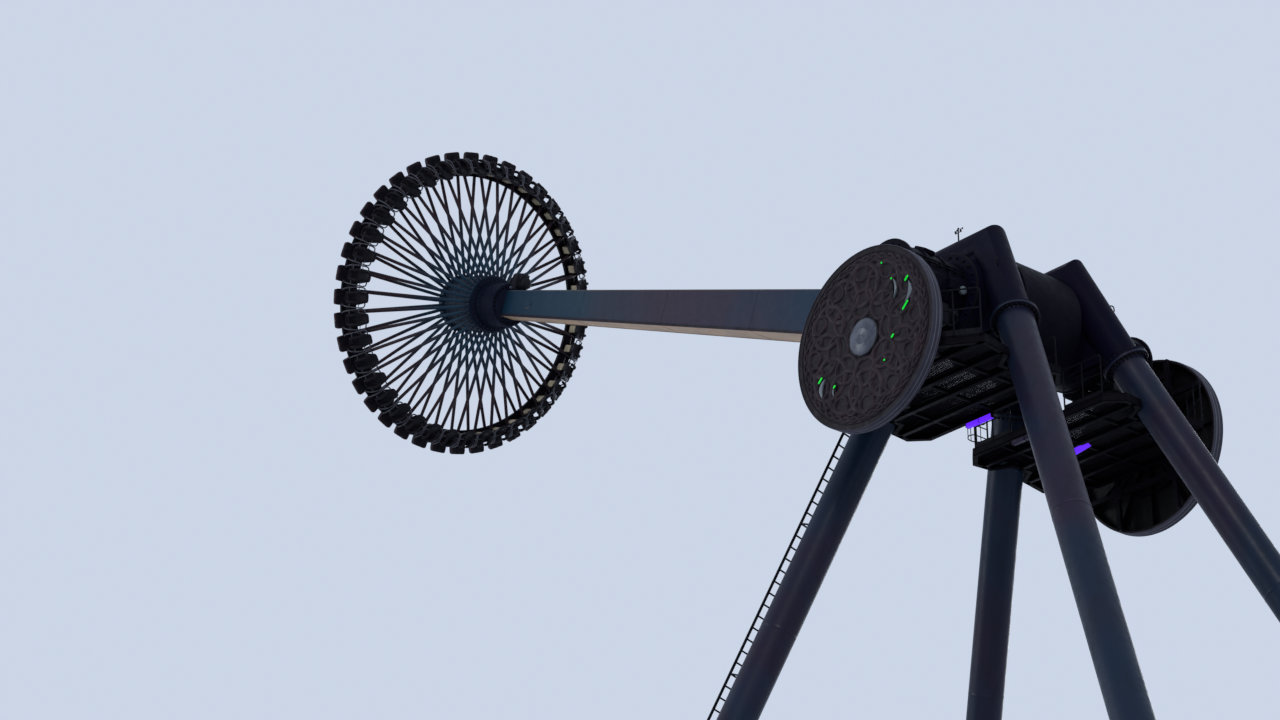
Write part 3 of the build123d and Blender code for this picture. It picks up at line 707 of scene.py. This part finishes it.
# Handrails: round tubes with a knee rail and a toe board
def railing(start, end, heights, radius, board):
    """A hooped rail between two feet, with the heights of its hoop, middle post and knee rail."""
    hoop, post, knee = (vec(0, 0, height) for height in heights)
    lift, middle = vec(0, 0, board / 2 + 0.01), (start + end) / 2
    return [tube(rounded([start, start + hoop, end + hoop, end], 0.10), radius),
            tube([middle, middle + post], radius - 0.002), tube([start + knee, end + knee], radius - 0.004),
            bar(start + lift, end + lift, 0.006, board, edge=0.001)]


rails, inner_rails = Group(), []
for sx in (-1, 1):
    near, far = vec(sx * 2.55, -3.63, DECK_Z), vec(sx * 1.45, -4.43, DECK_Z)
    step = unit(far - near)
    start, end = near + step * 0.075, far - step * 0.075
    rails += railing(start, end, (1.128, 1.12, 0.64), 0.022, 0.14)
    rails.add(block(0.10, 0.07, 0.012), *[axes(foot + vec(0, 0, 0.006), Z, step)
                                          for foot in (start, (start + end) / 2, end)])
    inner_rails += railing(vec(sx * 0.86, -0.76, DECK_Z), vec(sx * 2.02, -0.76, DECK_Z), (1.02, 1.01, 0.55),
                           0.020, 0.12)
both_sides("handrail", rails, "galvanised", ["railing"], "access_steel")
both_sides("inner_handrail", inner_rails, "galvanised", material="access_steel")

# Round discs: a dished plate with a rim, ribs inside, two bands round the rim
disc_frame = facing_left(-DISC_BACK, DISC_Z)
face = DISC_FACE - DISC_BACK
on_face = disc_frame @ shift(z=face)
disc_profile = [(2.107, 0), (2.160, 0), (2.166, 0.006), (2.166, face - 0.008), (DISC_R, face),
                (2.175, face + 0.014), (2.166, face + 0.018), (2.158, face + 0.014), (2.153, face),
                (2.037, face), (2.033, face + 0.014), (2.026, face + 0.018), (2.019, face + 0.014),
                (2.015, face), (0.05, face), (0.05, face - 0.06), (2.107, face - 0.06)]
ribs = Group()
ribs.add(block(1.55, 0.012, 0.14, 0.002), *[disc_frame @ turned(turn) @ shift(x=1.28, z=0.165)
                                            for turn in turns(12)])
ribs.add(collar(1.20, 1.212, 0.10, 0.235, 0.002), disc_frame)
ribs.add(collar(0.50, 0.52, 0.06, 0.235, 0.002), disc_frame)
both_sides("disc_shell", [placed(lathe(disc_profile, 144, True), disc_frame)], "disc_finish", ["disc"])
both_sides("disc_ribs", ribs, "disc_finish", material="deck_steel")
both_sides("disc_rim_bands", [placed(collar(2.160, DISC_R, z, z + 0.026, 0.004, 144), disc_frame)
                              for z in (0.07, 0.175)], "disc_finish", material="rim_band")
plates = Group()
for x in (-0.9, 0.9):
    for z in (DISC_Z - 1.0, DISC_Z + 1.0):
        plates.add(block(0.34, 0.016, 0.34, 0.004), shift(x, -4.422, z))
        plates.add(bolt(0.018, False), *[axes((x + dx, -4.414, z + dz), Y, X) for dx, dz in
                                         ((-0.12, 0.12), (0.12, -0.12), (0.12, 0.12), (-0.12, -0.12))])
plates.add(block(0.40, 0.016, 0.40, 0.004), shift(0, -4.422, DISC_Z))
both_sides("disc_frame_plates", plates, "dark_steel")


# Raised ornament: hoops woven in three rounds, a twisted cord round them, knobs between
def woven_band(path, width, height, lift, sides=7):
    """A closed band with an arched section that lies on the disc along a path, lifted here and there."""
    rings = []
    for point, direction, up in zip(path, directions(path, True), lift):
        side = np.array((-direction[1], direction[0]))
        rings.append([(*(point + side * width / 2 * math.cos(t)), -0.01 + (height + up + 0.01) * math.sin(t))
                      for t in np.linspace(0, math.pi, sides)])
    return lofted(rings, True)


def ring_path(radius, turn):
    return np.column_stack((radius * np.cos(turn), radius * np.sin(turn)))


relief = Group()
around = turns(64)
for circle, count, radius, lobes, width in ((1.30, 12, 0.50, 6, 0.15), (0.84, 8, 0.33, 4, 0.12),
                                            (1.62, 24, 0.20, 3, 0.09)):
    for turn in turns(count):
        path = polar(circle, turn) + ring_path(radius, around + turn)
        relief.add(woven_band(path, width, 0.038, 0.016 * np.sin(lobes * around)))
strand = turns(288)
for phase in (0, math.pi):
    path = ring_path(1.915 + 0.055 * np.sin(22 * strand + phase), strand)
    relief.add(woven_band(path, 0.075, 0.028, 0.012 * np.cos(22 * strand + phase), 5))
relief.add(lathe([(0.55 + r, h) for r, h in (polar(0.028, t) for t in turns(8))], 64, True))
knob = lathe([(0.055, -0.005), (0.055, 0.008), (0.045, 0.024), (0.025, 0.036), (0.008, 0.040)], 14)
relief.add(knob, *[shift(*polar(1.10, t)) for t in turns(12, math.pi / 12)])
both_sides("disc_ornament", [placed(joined(relief), on_face)], "disc_finish", ["disc_relief"], "disc_relief")


# Pale crescents let into the ornament, their pale colour a painted glow from the green lamps, and small green
# lamps, some of them long
def crescent(x, z, tilt, half, width, bulge):
    """A crescent whose chord runs at a tilt, bulging to the chord's right."""
    s = np.linspace(-1, 1, 15)
    outer = np.column_stack((s * half, -(bulge + width) * (1 - s * s)))
    inner = np.column_stack((s * half, -bulge * (1 - s * s)))[-2:0:-1]
    return placed(prism(np.vstack((outer, inner)), 0.056, 0.008), on_face @ turned(tilt, x, z))


def pill(half, radius, depth, edge):
    """A long lamp's outline, raised."""
    end = [(half + x, y) for x, y in (polar(radius, t) for t in np.linspace(-math.pi / 2, math.pi / 2, 9))]
    return prism(end + [(-x, -y) for x, y in end], depth, edge)


# Painted light: the crescents are pale to stand for the green lamps' light on them.
crescents = [crescent(*row) for row in (
    (1.40, 0.60, 1.32, 0.27, 0.11, 0.06), (0.99, 0.84, 1.57, 0.25, 0.06, 0.05),
    (-1.31, -0.82, 4.46, 0.24, 0.10, 0.05), (-0.95, -1.02, 4.71, 0.14, 0.06, 0.03))]
bezels, domes = Group(), Group()
for x, z, half in ((0.67, 1.59, 0), (0.96, 1.09, 0), (1.43, 0.92, 0.05), (1.36, 0.28, 0.10),
                   (0.93, -0.32, 0.03), (0.65, -0.81, 0), (-1.41, -0.59, 0.06), (-0.96, -0.90, 0.02)):
    spot = on_face @ turned(0.75, x, z)
    bezels.add(pill(half, 0.042, 0.052, 0.010), spot)
    domes.add(pill(half, 0.024, 0.070, 0.012), spot)
both_sides("disc_crescents_painted_glow", crescents, "disc_finish", material="enamel_and_painted_glow")
both_sides("disc_lamp_rings", bezels, "disc_finish", material="disc_rim")
both_sides("disc_green_lamps", domes, "lamp_glass", material="led_green")

# Lamp in the middle: a domed lens with fine steps in a bolted bezel
lens = [(LENS_R, 0.004)]
for k in range(9):
    radius = LENS_R - 0.048 * k
    height = 0.034 + 0.068 * math.sqrt(1 - (radius / 0.45) ** 2)
    lens += [(radius, height - 0.003), (radius - 0.009, height + 0.003)]
both_sides("middle_lamp_lens", [placed(lathe(lens + [(0.01, 0.106)], 64), on_face)], "lamp_glass", ["lamp"])
both_sides("middle_lamp_bezel", [placed(collar(LENS_R - 0.004, LAMP_R, 0, 0.052, 0.012), on_face),
                                 circle_of(bolt(0.012, False), 0.448, 12, on_face @ shift(z=0.050))],
           "disc_finish", material="disc_rim")

# Violet lamp bars under the decks, and a lamp panel under the right deck
along_bar = axes((-0.82, -0.765, DECK_Z - DECK_T - 0.065), X, Y)
tray = [placed(block(0.124, 0.022, 0.82), along_bar @ shift(y=0.050, z=0.41)),
        placed(block(0.128, 0.118, 0.010, 0.003), *[along_bar @ shift(z=z) for z in (0.006, 0.41, 0.814)])]
lens_outline = [(-0.058, 0.038), (-0.060, -0.048), (-0.048, -0.060), (0.048, -0.060), (0.060, -0.048),
                (0.058, 0.038)]
strips = placed(prism(lens_outline, 0.39, 0.006), *[along_bar @ shift(z=z) for z in (0.012, 0.418)])
both_sides("lamp_bar_tray", tray, "dark_steel", ["lamp_bar"])
piece("left_lamp_bar_lens", [strips], "structure", "lamp_violet")
piece("right_lamp_bar_lens", [flipped(strips, 1, -1, 1)], "structure", "lamp_violet", material="violet_off")
panel = axes((-0.05, 2.26, DECK_Z - DECK_T - 0.01), (0.25, -0.45, -1), X)
piece("right_deck_lamp_body", [placed(block(0.56, 0.24, 0.05, 0.01), panel),
                               placed(block(0.05, 0.05, 0.12), panel @ shift(z=-0.05))],
      "structure", "dark_steel")
piece("right_deck_lamp_lens", [placed(block(0.50, 0.18, 0.02, 0.006), panel @ shift(z=0.028))],
      "structure", "lamp_violet")

# Ladder up the rear left leg, and conduits beside it
ladder_dir, ladder_start = LEG_DIR * (-1, 1, 1), SPLICE * (-1, 1, 1)
ladder_out = unit(vec(-1, 0, 0) - ladder_dir * vec(-1, 0, 0).dot(ladder_dir))
ladder_side = np.cross(ladder_dir, ladder_out)
leg_length = SPLICE[2] / -LEG_DIR[2]
ladder_top = (SPLICE[2] - DECK_Z + DECK_T) / -LEG_DIR[2]
ladder_run = leg_length - LADDER_FOOT - ladder_top
ladder_mid = ladder_start + ladder_dir * (ladder_top + ladder_run / 2) + ladder_out * (LEG_R + LADDER_STAND)
rung_count = int(ladder_run / RUNG_PITCH)
half = ladder_side * LADDER_HALF
tie = LADDER_STAND + LEG_R - math.sqrt(LEG_R ** 2 - LADDER_HALF ** 2)
ladder = Group()
for side in (-1, 0, 1):
    ladder.add(tube([ladder_mid + side * half + ladder_dir * (end * ladder_run / 2)
                     for end in (-1, 1)], 0.034))
for k in range(rung_count):
    at = ladder_mid + ladder_dir * RUNG_PITCH * (k - (rung_count - 1) / 2)
    ladder.add(tube([at - half, at + half], 0.021, 8))
for k in range(6):
    for side in (-1, 1):
        foot = ladder_mid + ladder_dir * RUNG_PITCH * (rung_count // 6) * (k - 2.5) + side * half
        ladder.add(bar(foot, foot - ladder_out * tie, 0.035, 0.035, ladder_dir))
        ladder.add(collar(0.018, 0.032, -0.03, 0.03, 0.003, 16), axes(foot, ladder_dir, ladder_out))
piece("rear_left_ladder_rails", ladder, "structure", "galvanised", ["rear_left_ladder"], "access_steel")
conduits = Group()
for turn, size in ((0.95, 0.024), (1.07, 0.018)):
    out = ladder_out * math.cos(turn) + ladder_side * math.sin(turn)
    start = ladder_start + ladder_dir * 0.25 + out * (LEG_R + size)
    conduits.add(tube([start, start + ladder_dir * (leg_length - 1.6)], size, 8))
    conduits.add(block(0.07, 0.075, 0.03), *[axes(start + ladder_dir * (1 + 2.05 * k), ladder_dir, out)
                                             @ shift(x=-0.015) for k in range(12)])
piece("rear_left_leg_conduits", conduits, "structure", "dark_steel")

# Caged ladder on the right deck, up towards the head. Its frame's origin is between its feet
cage = Group([tube([(0, y, 0), (0, y, 2.1)], 0.022, 8) for y in (-CAGE_HALF, CAGE_HALF)])
for k in range(8):
    cage.add(tube([(0, -CAGE_HALF, 0.2 + 0.26 * k), (0, CAGE_HALF, 0.2 + 0.26 * k)], 0.014, 8))
hoop = [(-0.34 * math.sin(t) - 0.02, -0.30 * math.cos(t), 0) for t in np.linspace(0.45, math.pi - 0.45, 17)]
for z in (0.75, 1.20, 1.65, 2.05):
    cage.add(tube([(0, -CAGE_HALF, 0), *hoop, (0, CAGE_HALF, 0)], 0.014, 7), shift(z=z))
for x, y, _ in hoop[2:15:6]:
    cage.add(tube([(x, y, 0.75), (x, y, 2.05)], 0.010, 7))
cage_foot = vec(CAGE_X, CAGE_Y, DECK_Z)
for z in (0.4, 1.7):
    leg_mid = (SPLICE + LEG_DIR * ((SPLICE[2] - DECK_Z - z) / -LEG_DIR[2])) * (-1, -1, 1)
    cage.add(tube([(0, CAGE_HALF, z), leg_mid - cage_foot - vec(LEG_R * 0.9, 0, 0)], 0.018, 8))
piece("right_deck_ladder", [placed(joined(cage), shift(*cage_foot))], "structure", "galvanised",
      material="access_steel")

# Wind gauge: mast, three cups and a vane. Its frame's origin is the mast's foot
gauge = Group([tube([(0, 0, 0), (0, 0, 0.43)], 0.018), tube([(-0.08, 0, 0.32), (0.08, 0, 0.32)], 0.008, 8),
               lathe([(0.06, 0), (0.06, 0.012), (0.03, 0.03)], 16)])
gauge.add(lathe([(0.024, 0), (0.024, 0.05), (0.016, 0.06)], 12), shift(0.08, 0, 0.32), shift(-0.08, 0, 0.32))
cup = lathe([(0.024, 0), (0.022, 0.012), (0.014, 0.022), (0.005, 0.026)], 14)
for turn in turns(3):
    hub = vec(0.08, 0, 0.39)
    arm_end = hub + vec(*polar(0.055, turn), 0)
    gauge.add(tube([hub, arm_end], 0.005, 6))
    gauge.add(cup, axes(arm_end, (-math.sin(turn), math.cos(turn), 0), Z))
vane = [(-0.06, -0.004), (0.01, -0.005), (0.06, -0.025), (0.06, 0.03), (0.01, 0.005), (-0.06, 0.004)]
gauge.add(prism(vane, 0.006), axes((-0.08, 0.003, 0.39), LEFT, X))
piece("wind_gauge_cups", [placed(joined(gauge), shift(-0.22, HEAD_TOP[1], HEAD_TOP[2] + LEG_R - 0.008))],
      "structure", "dark_steel", ["wind_gauge"])

# Arm: bolts and plates on the hub, seams and lips on the girder, a bolted joint at its root, hatches
arm_frame = axes(PIVOT, ARM_DIR, Y)
hub_fittings = Group()
for side in (-1, 1):
    drum_face = axes(PIVOT + vec(0, side * DRUM_HALF, 0), (0, side, 0), X)
    hub_fittings.add(collar(1.10, 1.37, -0.01, 0.018), drum_face)
    hub_fittings.add(circle_of(bolt(0.028, False), 1.25, 36, drum_face @ shift(z=0.018)))
piece("arm_hub_fittings", hub_fittings, "arm", "tower_paint", material="drive_paint")


def girder_half(s):
    """Half width and half height of the girder at a distance from the axle."""
    part = (s - ARM_S[0]) / (ARM_S[1] - ARM_S[0])
    return [(size[0] + (size[1] - size[0]) * part) / 2 for size in (ARM_W, ARM_H)]


def on_girder(s, across, up, proud=(0, 0)):
    """A point by its share of the girder's half sizes and a distance more."""
    w, h = girder_half(s)
    return arm_frame[:3, :3] @ vec(across * w + proud[0], up * h + proud[1], s) + PIVOT


def girder_band(s, proud, length):
    """A closed frame round the girder."""
    frames = []
    for at, inset_by in ((s, 0.004), (s + 0.004, 0), (s + length - 0.004, 0), (s + length, 0.004)):
        w, h = (half + proud - inset_by for half in girder_half(at))
        frames.append([(w, h, at), (-w, h, at), (-w, -h, at), (w, -h, at)])
    return placed(lofted(frames), arm_frame)


seams = [girder_band(s, 0.006, 0.022) for s in ARM_SEAMS]
seams += [tube([on_girder(s, sx, sy) for s in (1.7, GIRDER_END)], 0.012, 8)
          for sx in (-1, 1) for sy in (-1, 1)]
piece("arm_girder_seams", seams, "arm", "arm_paint")
# Lips along the lower edges of the girder's sides: real plates, coloured a darker brown that paints the shade
# under the edge.
lips = [bar(*[on_girder(s, sx, 1, (sx * 0.006, -0.035)) for s in (2.05, GIRDER_END)], 0.07, 0.024, Y)
        for sx in (-1, 1)]
piece("arm_girder_lips_painted_shade", lips, "arm", "arm_paint", material="arm_lip_painted_shade")
covers = Group([girder_band(1.92, 0.05, 0.03), girder_band(1.965, 0.05, 0.03)])
w, h = girder_half(1.95)
for sx in (-1, 1):
    for t in np.linspace(-0.9, 0.9, 12):
        covers.add(bolt(0.02, False), arm_frame @ shift(sx * (w + 0.026), t * h, 1.995),
                   arm_frame @ shift(t * w, sx * (h + 0.026), 1.995))
for s, size in ((3.1, 0.34), (19.6, 0.22)):
    oval = [(size * 0.62 * math.cos(t), size * math.sin(t)) for t in turns(32)]
    for sx in (-1, 1):
        hatch = arm_frame @ axes((sx * (girder_half(s)[0] - 0.004), 0, s), (sx, 0, 0), Y)
        covers.add(prism(oval, 0.022, 0.005), hatch)
        covers.add(bolt(0.012, False), *[
            hatch @ shift(size * 0.52 * math.cos(t), size * 0.86 * math.sin(t), 0.02) for t in turns(10)])
covers.add(tube([on_girder(s, 0, -1, (0.10, -0.03)) for s in (1.6, 19.9)], 0.022, 8))
covers.add(block(0.09, 0.05, 0.04), *[arm_frame @ shift(0.10, -girder_half(s)[1] - 0.02, s)
                                      for s in np.arange(2.4, 19.8, 1.45)])
piece("arm_covers", covers, "arm", "arm_paint")

# Flange bolts at the arm's end and the motor that turns the gondola
downward_bolt = placed(bolt(0.030), axes((0, 0, 0), DOWN, Y))
piece("arm_flange_bolts", [circle_of(downward_bolt, 0.54, 28, arm_frame @ shift(z=ARM_S[1]), 0.11)], "arm",
      "dark_steel")
spin = Group([circle_of(bolt(0.016, False), 0.185, 8, shift(z=0.035)),
              placed(prism(fin_ring, 0.22), shift(z=0.29))])
for profile in ([(0.21, 0), (0.21, 0.03), (0.195, 0.04)], [(0.165, 0.26), (0.185, 0.27), (0.185, 0.30)],
                [(0.170, 0.50), (0.170, 0.54), (0.160, 0.58), (0.11, 0.615), (0.05, 0.62)]):
    spin.add(lathe(profile, 28))
for size, place in (
        ((0.36, 0.50, 0.24, 0.03), (0, -0.01, 0.15)), ((0.10, 0.16, 0.14, 0.01), (0.19, 0, 0.38)),
        ((0.20, 0.10, 0.14, 0.01), (0, -0.27, 0.15)), ((0.26, 0.22, 0.42, 0.01), (0, 0.16, 0.24))):
    spin.add(block(*size), shift(*place))
piece("spin_motor_unit", [placed(joined(spin), arm_frame @ axes((0, -0.655, ARM_S[1]), DOWN, X))], "arm",
      "motor_paint", ["spin_motor"])
marker = arm_frame @ axes((-0.175, -0.47, 20.66), (-1, 0, 0), Y)
piece("arm_marker_lamp", [placed(lathe([(0.04, 0), (0.04, 0.05), (0.03, 0.07), (0.012, 0.08)], 16), marker)],
      "arm", "lamp_glass")

# Gondola: hub bands, slewing teeth, spokes, posts and the seat ring's tube
gondola_frame = axes(GONDOLA, -ARM_DIR, Y)
hub = Group([collar(HUB_R - 0.004, HUB_R + 0.010, z, z + 0.05, 0.004, 72) for z in (0.30, 0.75, 1.20)])
hub_rib = placed(block(0.018, 0.02, 0.92, 0.003), shift(z=0.765))
hub.add(circle_of(hub_rib, HUB_R + 0.004, 20, np.eye(4), SPOKE_TURN))
hub.add(circle_of(bolt(0.024, False), 0.70, 32, shift(z=HUB_TOP + 0.04)))
teeth = toothed(72, ((0, 0.645), (0.3, 0.645), (0.42, 0.672), (0.78, 0.672), (0.9, 0.645)))
hub.add(prism(teeth, 0.10), shift(z=1.70))
hub.add(circle_of(placed(bolt(0.022, False), axes((0, 0, 0), DOWN, X)), 0.66, 24, shift(z=-0.12)))
hub.add(lathe([(0.30, 0), (0.30, -0.015), (0.26, -0.03), (0.04, -0.035)], 40), shift(z=-0.115))
piece("gondola_hub_fittings", [placed(joined(hub), gondola_frame)], "gondola", "gondola_paint")

ring = Group([lathe([(RING_R + r, h) for r, h in (polar(RING_TUBE, t) for t in turns(18))], 200, True)])
ring += [collar(HUB_R + 0.0008, HUB_R + 0.06, z, z + 0.15, 0.008, 80) for z in (0, 1.405)]
spoke_clevis = block(0.09, 0.036, 0.085, 0.006)
for turn in turns(SEATS, SPOKE_TURN):
    out, side = vec(*polar(1, turn), 0), vec(-math.sin(turn), math.cos(turn), 0)
    for low_z, high_z in ((0.11, -0.02), (1.48, 0.252)):
        a, b = out * (HUB_R + 0.045) + vec(0, 0, low_z), out * RING_R + vec(0, 0, high_z)
        ahead = unit(b - a)
        ring.add(tube([a, a + ahead * 0.14, b - ahead * 0.14, b], [0.034, 0.048, 0.048, 0.036], 9))
        ring.add(spoke_clevis, axes(a + ahead * 0.03, side, ahead))
    post = out * RING_R
    ring.add(tube([post + vec(0, 0, 0.05), post + vec(0, 0, 0.27)], 0.024))
    ring.add(block(0.07, 0.05, 0.045, 0.006), axes(post + vec(0, 0, 0.2675), Z, out))
piece("seat_ring_frame", [placed(joined(ring), gondola_frame)], "gondola", "gondola_paint", ["seat_ring"])
rail = [lathe([(4.05, -0.058), (4.185, -0.058), (4.19, -0.053), (4.19, 0.025), (4.185, 0.03), (4.05, 0.03)],
              200, True),
        lathe([(3.735, 0.006), (3.741, 0), (RING_R, 0), (RING_R, 0.10), (3.741, 0.10), (3.735, 0.094)],
              200, True),
        circle_of(block(0.12, 0.05, 0.06, 0.005), RING_R + RING_TUBE, 80, shift(z=-0.014), SPOKE_TURN / 2)]
piece("seat_rail", [placed(joined(rail), gondola_frame)], "gondola", "dark_steel")


# Seats, each in its own frame: x outward, y across, z up for the rider
def lean(z, foot_r, top_r):
    """The radius of the leaning back at a height."""
    return foot_r + (top_r - foot_r) * max(0.0, z - 0.12) / 0.57


def back_shell():
    """A shell that wraps forward at its sides, wide at the hips, narrower and square at the head."""
    rings, across = [], np.linspace(-1, 1, 13)
    for z, half, wrap in (
            (0.125, 0.205, 0.075), (0.15, 0.225, 0.085), (0.24, 0.228, 0.090), (0.34, 0.224, 0.085),
            (0.42, 0.214, 0.075), (0.50, 0.198, 0.060), (0.57, 0.178, 0.048), (0.63, 0.160, 0.040),
            (0.68, 0.150, 0.034), (0.715, 0.145, 0.030), (0.73, 0.135, 0.030)):
        rear, front = lean(z, 3.94, 3.735), lean(z, 4.0573, 3.86)
        rings.append([(rear + wrap * t ** 4, t * half, z) for t in across]
                     + [(front - 0.045 * (1 - t ** 4) + wrap * 0.5 * t ** 8, t * half * 0.97, z)
                        for t in across[::-1]])
    return lofted(rings)


def pan_shell():
    """A dished pan with a raised, rounded front."""
    rings, across = [], np.linspace(-1, 1, 13)
    for r, half, low_z, lip in ((4.060, 0.205, -0.030, 0.0), (4.075, 0.222, -0.048, 0.0),
                                (4.16, 0.2335, -0.050, 0.0), (4.27, 0.2335, -0.050, 0.3),
                                (4.36, 0.2335, -0.044, 0.8), (4.41, 0.226, -0.030, 1.0),
                                (4.434, 0.208, -0.006, 1.0), (4.440, 0.186, 0.020, 1.0)):
        drop = 0.052 * (1 - lip * 0.35)
        rings.append([(r, t * half, 0.118 - drop * (1 - abs(t) ** 3) + 0.040 * lip * math.exp(-(t / 0.2) ** 2)
                       - 0.02 * (r > 4.42) - 0.010 * (abs(t) > 0.95)) for t in across]
                     + [(r, t * half * 0.93, low_z + 0.012 * abs(t) ** 4) for t in across[::-1]])
    return lofted(rings)


def rear_panel():
    """A shallow box on the lower part of the back, its face upright."""
    rings, across = [], np.linspace(-1, 1, 7)
    for z, inset_by in ((0.130, 0.010), (0.136, 0.0), (0.404, 0.0), (0.410, 0.010)):
        half, rear = 0.105 - inset_by, 3.822 + inset_by
        rings.append([(rear + 0.010 * t ** 6, t * half, z) for t in across]
                     + [(lean(z, 3.94, 3.735) + 0.02, t * half, z) for t in across[::-1]])
    return lofted(rings)


def cushion():
    """A crowned pad on the front of the back."""
    rings, across = [], np.linspace(-1, 1, 7)
    for z, half, crown in ((0.13, 0.09, 0.0), (0.16, 0.11, 0.020), (0.30, 0.11, 0.022), (0.42, 0.105, 0.020),
                           (0.46, 0.09, 0.0)):
        slope = (z - 0.12) * -0.346
        rings.append([(3.99 + 0.004 * abs(t) + slope + crown, t * half, z) for t in across]
                     + [(3.965 + slope, t * half, z) for t in across[::-1]])
    return lofted(rings)


HOOP = ((3.80, 0.10, 0.655), (3.80, 0.20, 0.668), (3.83, 0.272, 0.650), (3.93, 0.290, 0.610),
        (4.06, 0.288, 0.540), (4.16, 0.276, 0.430), (4.215, 0.258, 0.280), (4.230, 0.215, 0.116))
PAD = ((3.90, 0.135, 0.650), (4.02, 0.140, 0.640), (4.13, 0.138, 0.560), (4.19, 0.130, 0.43),
       (4.21, 0.118, 0.30))
STRUTS = (((4.19, 0.135, 0.43), (4.165, 0.272, 0.42)), ((3.97, 0.140, 0.63), (3.97, 0.285, 0.595)))
PLATE = ((3.885, -0.085), (4.02, -0.092), (4.20, -0.056), (4.20, -0.044), (4.058, -0.040), (4.058, 0.09),
         (4.0, 0.115), (3.945, 0.115), (3.885, 0.05))
restraint, pads, brackets = Group(), Group(), Group()
for side in (-1, 1):
    mirror = vec(1, side, 1)
    restraint.add(tube(smooth_path(HOOP * mirror), 0.0195, 8))
    pad = smooth_path(PAD * mirror, 4)
    pads.add(tube(pad, [0.022, 0.036] + [0.042] * (len(pad) - 4) + [0.036, 0.022]))
    for strut in STRUTS:
        restraint.add(tube(strut * mirror, 0.011, 7))
    brackets.add(prism(PLATE, 0.012, 0.002), axes((0, side * 0.115 + 0.006, 0), LEFT, X))
    brackets.add(bolt(0.016, False), axes((4.03, side * 0.121, -0.062), (0, side, 0), X))
restraint.add(block(0.05, 0.05, 0.03, 0.006), shift(4.230, 0.213, 0.118), shift(4.230, -0.213, 0.118))
pads.add(tube(smooth_path([(4.205, -0.125, 0.33), (4.225, -0.05, 0.315), (4.225, 0.05, 0.315),
                           (4.205, 0.125, 0.33)], 4), 0.022, 8))
trim_side = [(4.25, -0.222, 0.112), (4.37, -0.219, 0.108), (4.424, -0.188, 0.088), (4.430, -0.09, 0.078)]
trim_path = trim_side + [(4.432, 0, 0.088)] + [(x, -y, z) for x, y, z in trim_side[::-1]]
trim = tube(smooth_path(trim_path, 4), 0.010, 6)
# Painted highlight: a small pale strip on the front of each pan stands for light caught on its front edge.
pan_front_highlight = placed(block(0.012, 0.15, 0.028), shift(4.434, 0, 0.028))
seat_frames = [gondola_frame @ turned(turn) for turn in turns(SEATS, SEAT_TURN)]
for name, shapes, slot, replaced, material in (
        ("seat_back_shells", [back_shell()], "seat_shell", ["seat_backs"], None),
        ("seat_pan_shells", [pan_shell()], "seat_shell", ["seat_pans"], None),
        ("seat_rear_panels", [rear_panel()], "panel_finish", ["seat_panels"], None),
        ("seat_back_pads", [cushion()], "seat_shell", (), "seat_foam"),
        ("seat_edge_trims", [trim], "seat_shell", (), "seat_trim"),
        ("seat_front_painted_highlights", [pan_front_highlight], "panel_finish", (), None),
        ("shoulder_bars", restraint, "restraint_finish", ["restraints"], None),
        ("shoulder_pads", pads, "seat_shell", (), "seat_foam"),
        ("seat_brackets", brackets, "dark_steel", (), None)):
    piece(name, [placed(joined(shapes), *seat_frames)], "gondola", slot, replaced, material, smooth=50)


def add_object(name, data):
    obj = bpy.data.objects.new(name, data)
    bpy.context.scene.collection.objects.link(obj)
    return obj


# Camera at the photograph's place and angle
def make_camera():
    data = bpy.data.cameras.new("camera")
    data.lens, data.sensor_width = 88.71, 36
    data.clip_start, data.clip_end = 1, 500
    camera = bpy.context.scene.camera = add_object("camera", data)
    place = Matrix.Translation((45.304, -49.685, -7.043))
    right = Vector((0.64551, 0.76375, 0.0)).normalized()
    back = Vector((0.69051, -0.5836, -0.42733)).normalized()
    camera.matrix_world = place @ Matrix((right, back.cross(right), back)).transposed().to_4x4()


# Studio: a pale floor under the ride, a pale world and three soft lamps
def make_stage():
    mesh = bpy.data.meshes.new("floor")
    mesh.from_pydata([(*polar(29, t), -0.002) for t in turns(96)], [], [list(range(96))])
    s = Shader("floor", 0.8)
    pale = s.ramp(s.noise(0.4, 4), [(0.3, (0.66, 0.68, 0.71)), (0.7, (0.70, 0.72, 0.75))])
    s.fill(s.bsdf, {"Base Color": pale})
    mesh.materials.append(s.material)
    add_object("floor", mesh)

    world = bpy.context.scene.world = bpy.data.worlds.new("studio")
    world.use_nodes = True
    sky = Tree(world.node_tree)
    lighting = world.node_tree.nodes["Background"]
    sky.fill(lighting, {"Color": (0.80, 0.86, 1.0), "Strength": 0.5})
    seen = sky.new("ShaderNodeBackground", {"Color": (0.60, 0.67, 0.80), "Strength": 1.0})
    rays = sky.new("ShaderNodeLightPath").outputs
    share = rays["Is Camera Ray"]
    for ray in ("Is Glossy Ray", "Is Transmission Ray"):
        share = sky.maths("MAXIMUM", share, rays[ray])
    mix = sky.new("ShaderNodeMixShader", {0: share, 1: lighting.outputs[0], 2: seen.outputs[0]})
    sky.fill(world.node_tree.nodes["World Output"], {"Surface": mix.outputs[0]})

    aim = Vector((-5, 0, 24))
    for name, place, size, power, colour in (
            ("key", (62, -70, 60), 30, 26000, (1.0, 0.97, 0.93)),
            ("fill", (-60, -60, 40), 36, 14000, (0.92, 0.96, 1.0)),
            ("back", (-30, 70, 50), 36, 14000, (0.95, 0.97, 1.0))):
        data = bpy.data.lights.new(name, "AREA")
        data.shape, data.size = "DISK", size
        data.energy, data.color = power, colour
        lamp = add_object(name, data)
        lamp.location = place
        lamp.rotation_mode = "QUATERNION"
        lamp.rotation_quaternion = (aim - Vector(place)).to_track_quat("-Z", "Y")
    bpy.context.scene.view_settings.view_transform = "Standard"


make_camera()
make_stage()
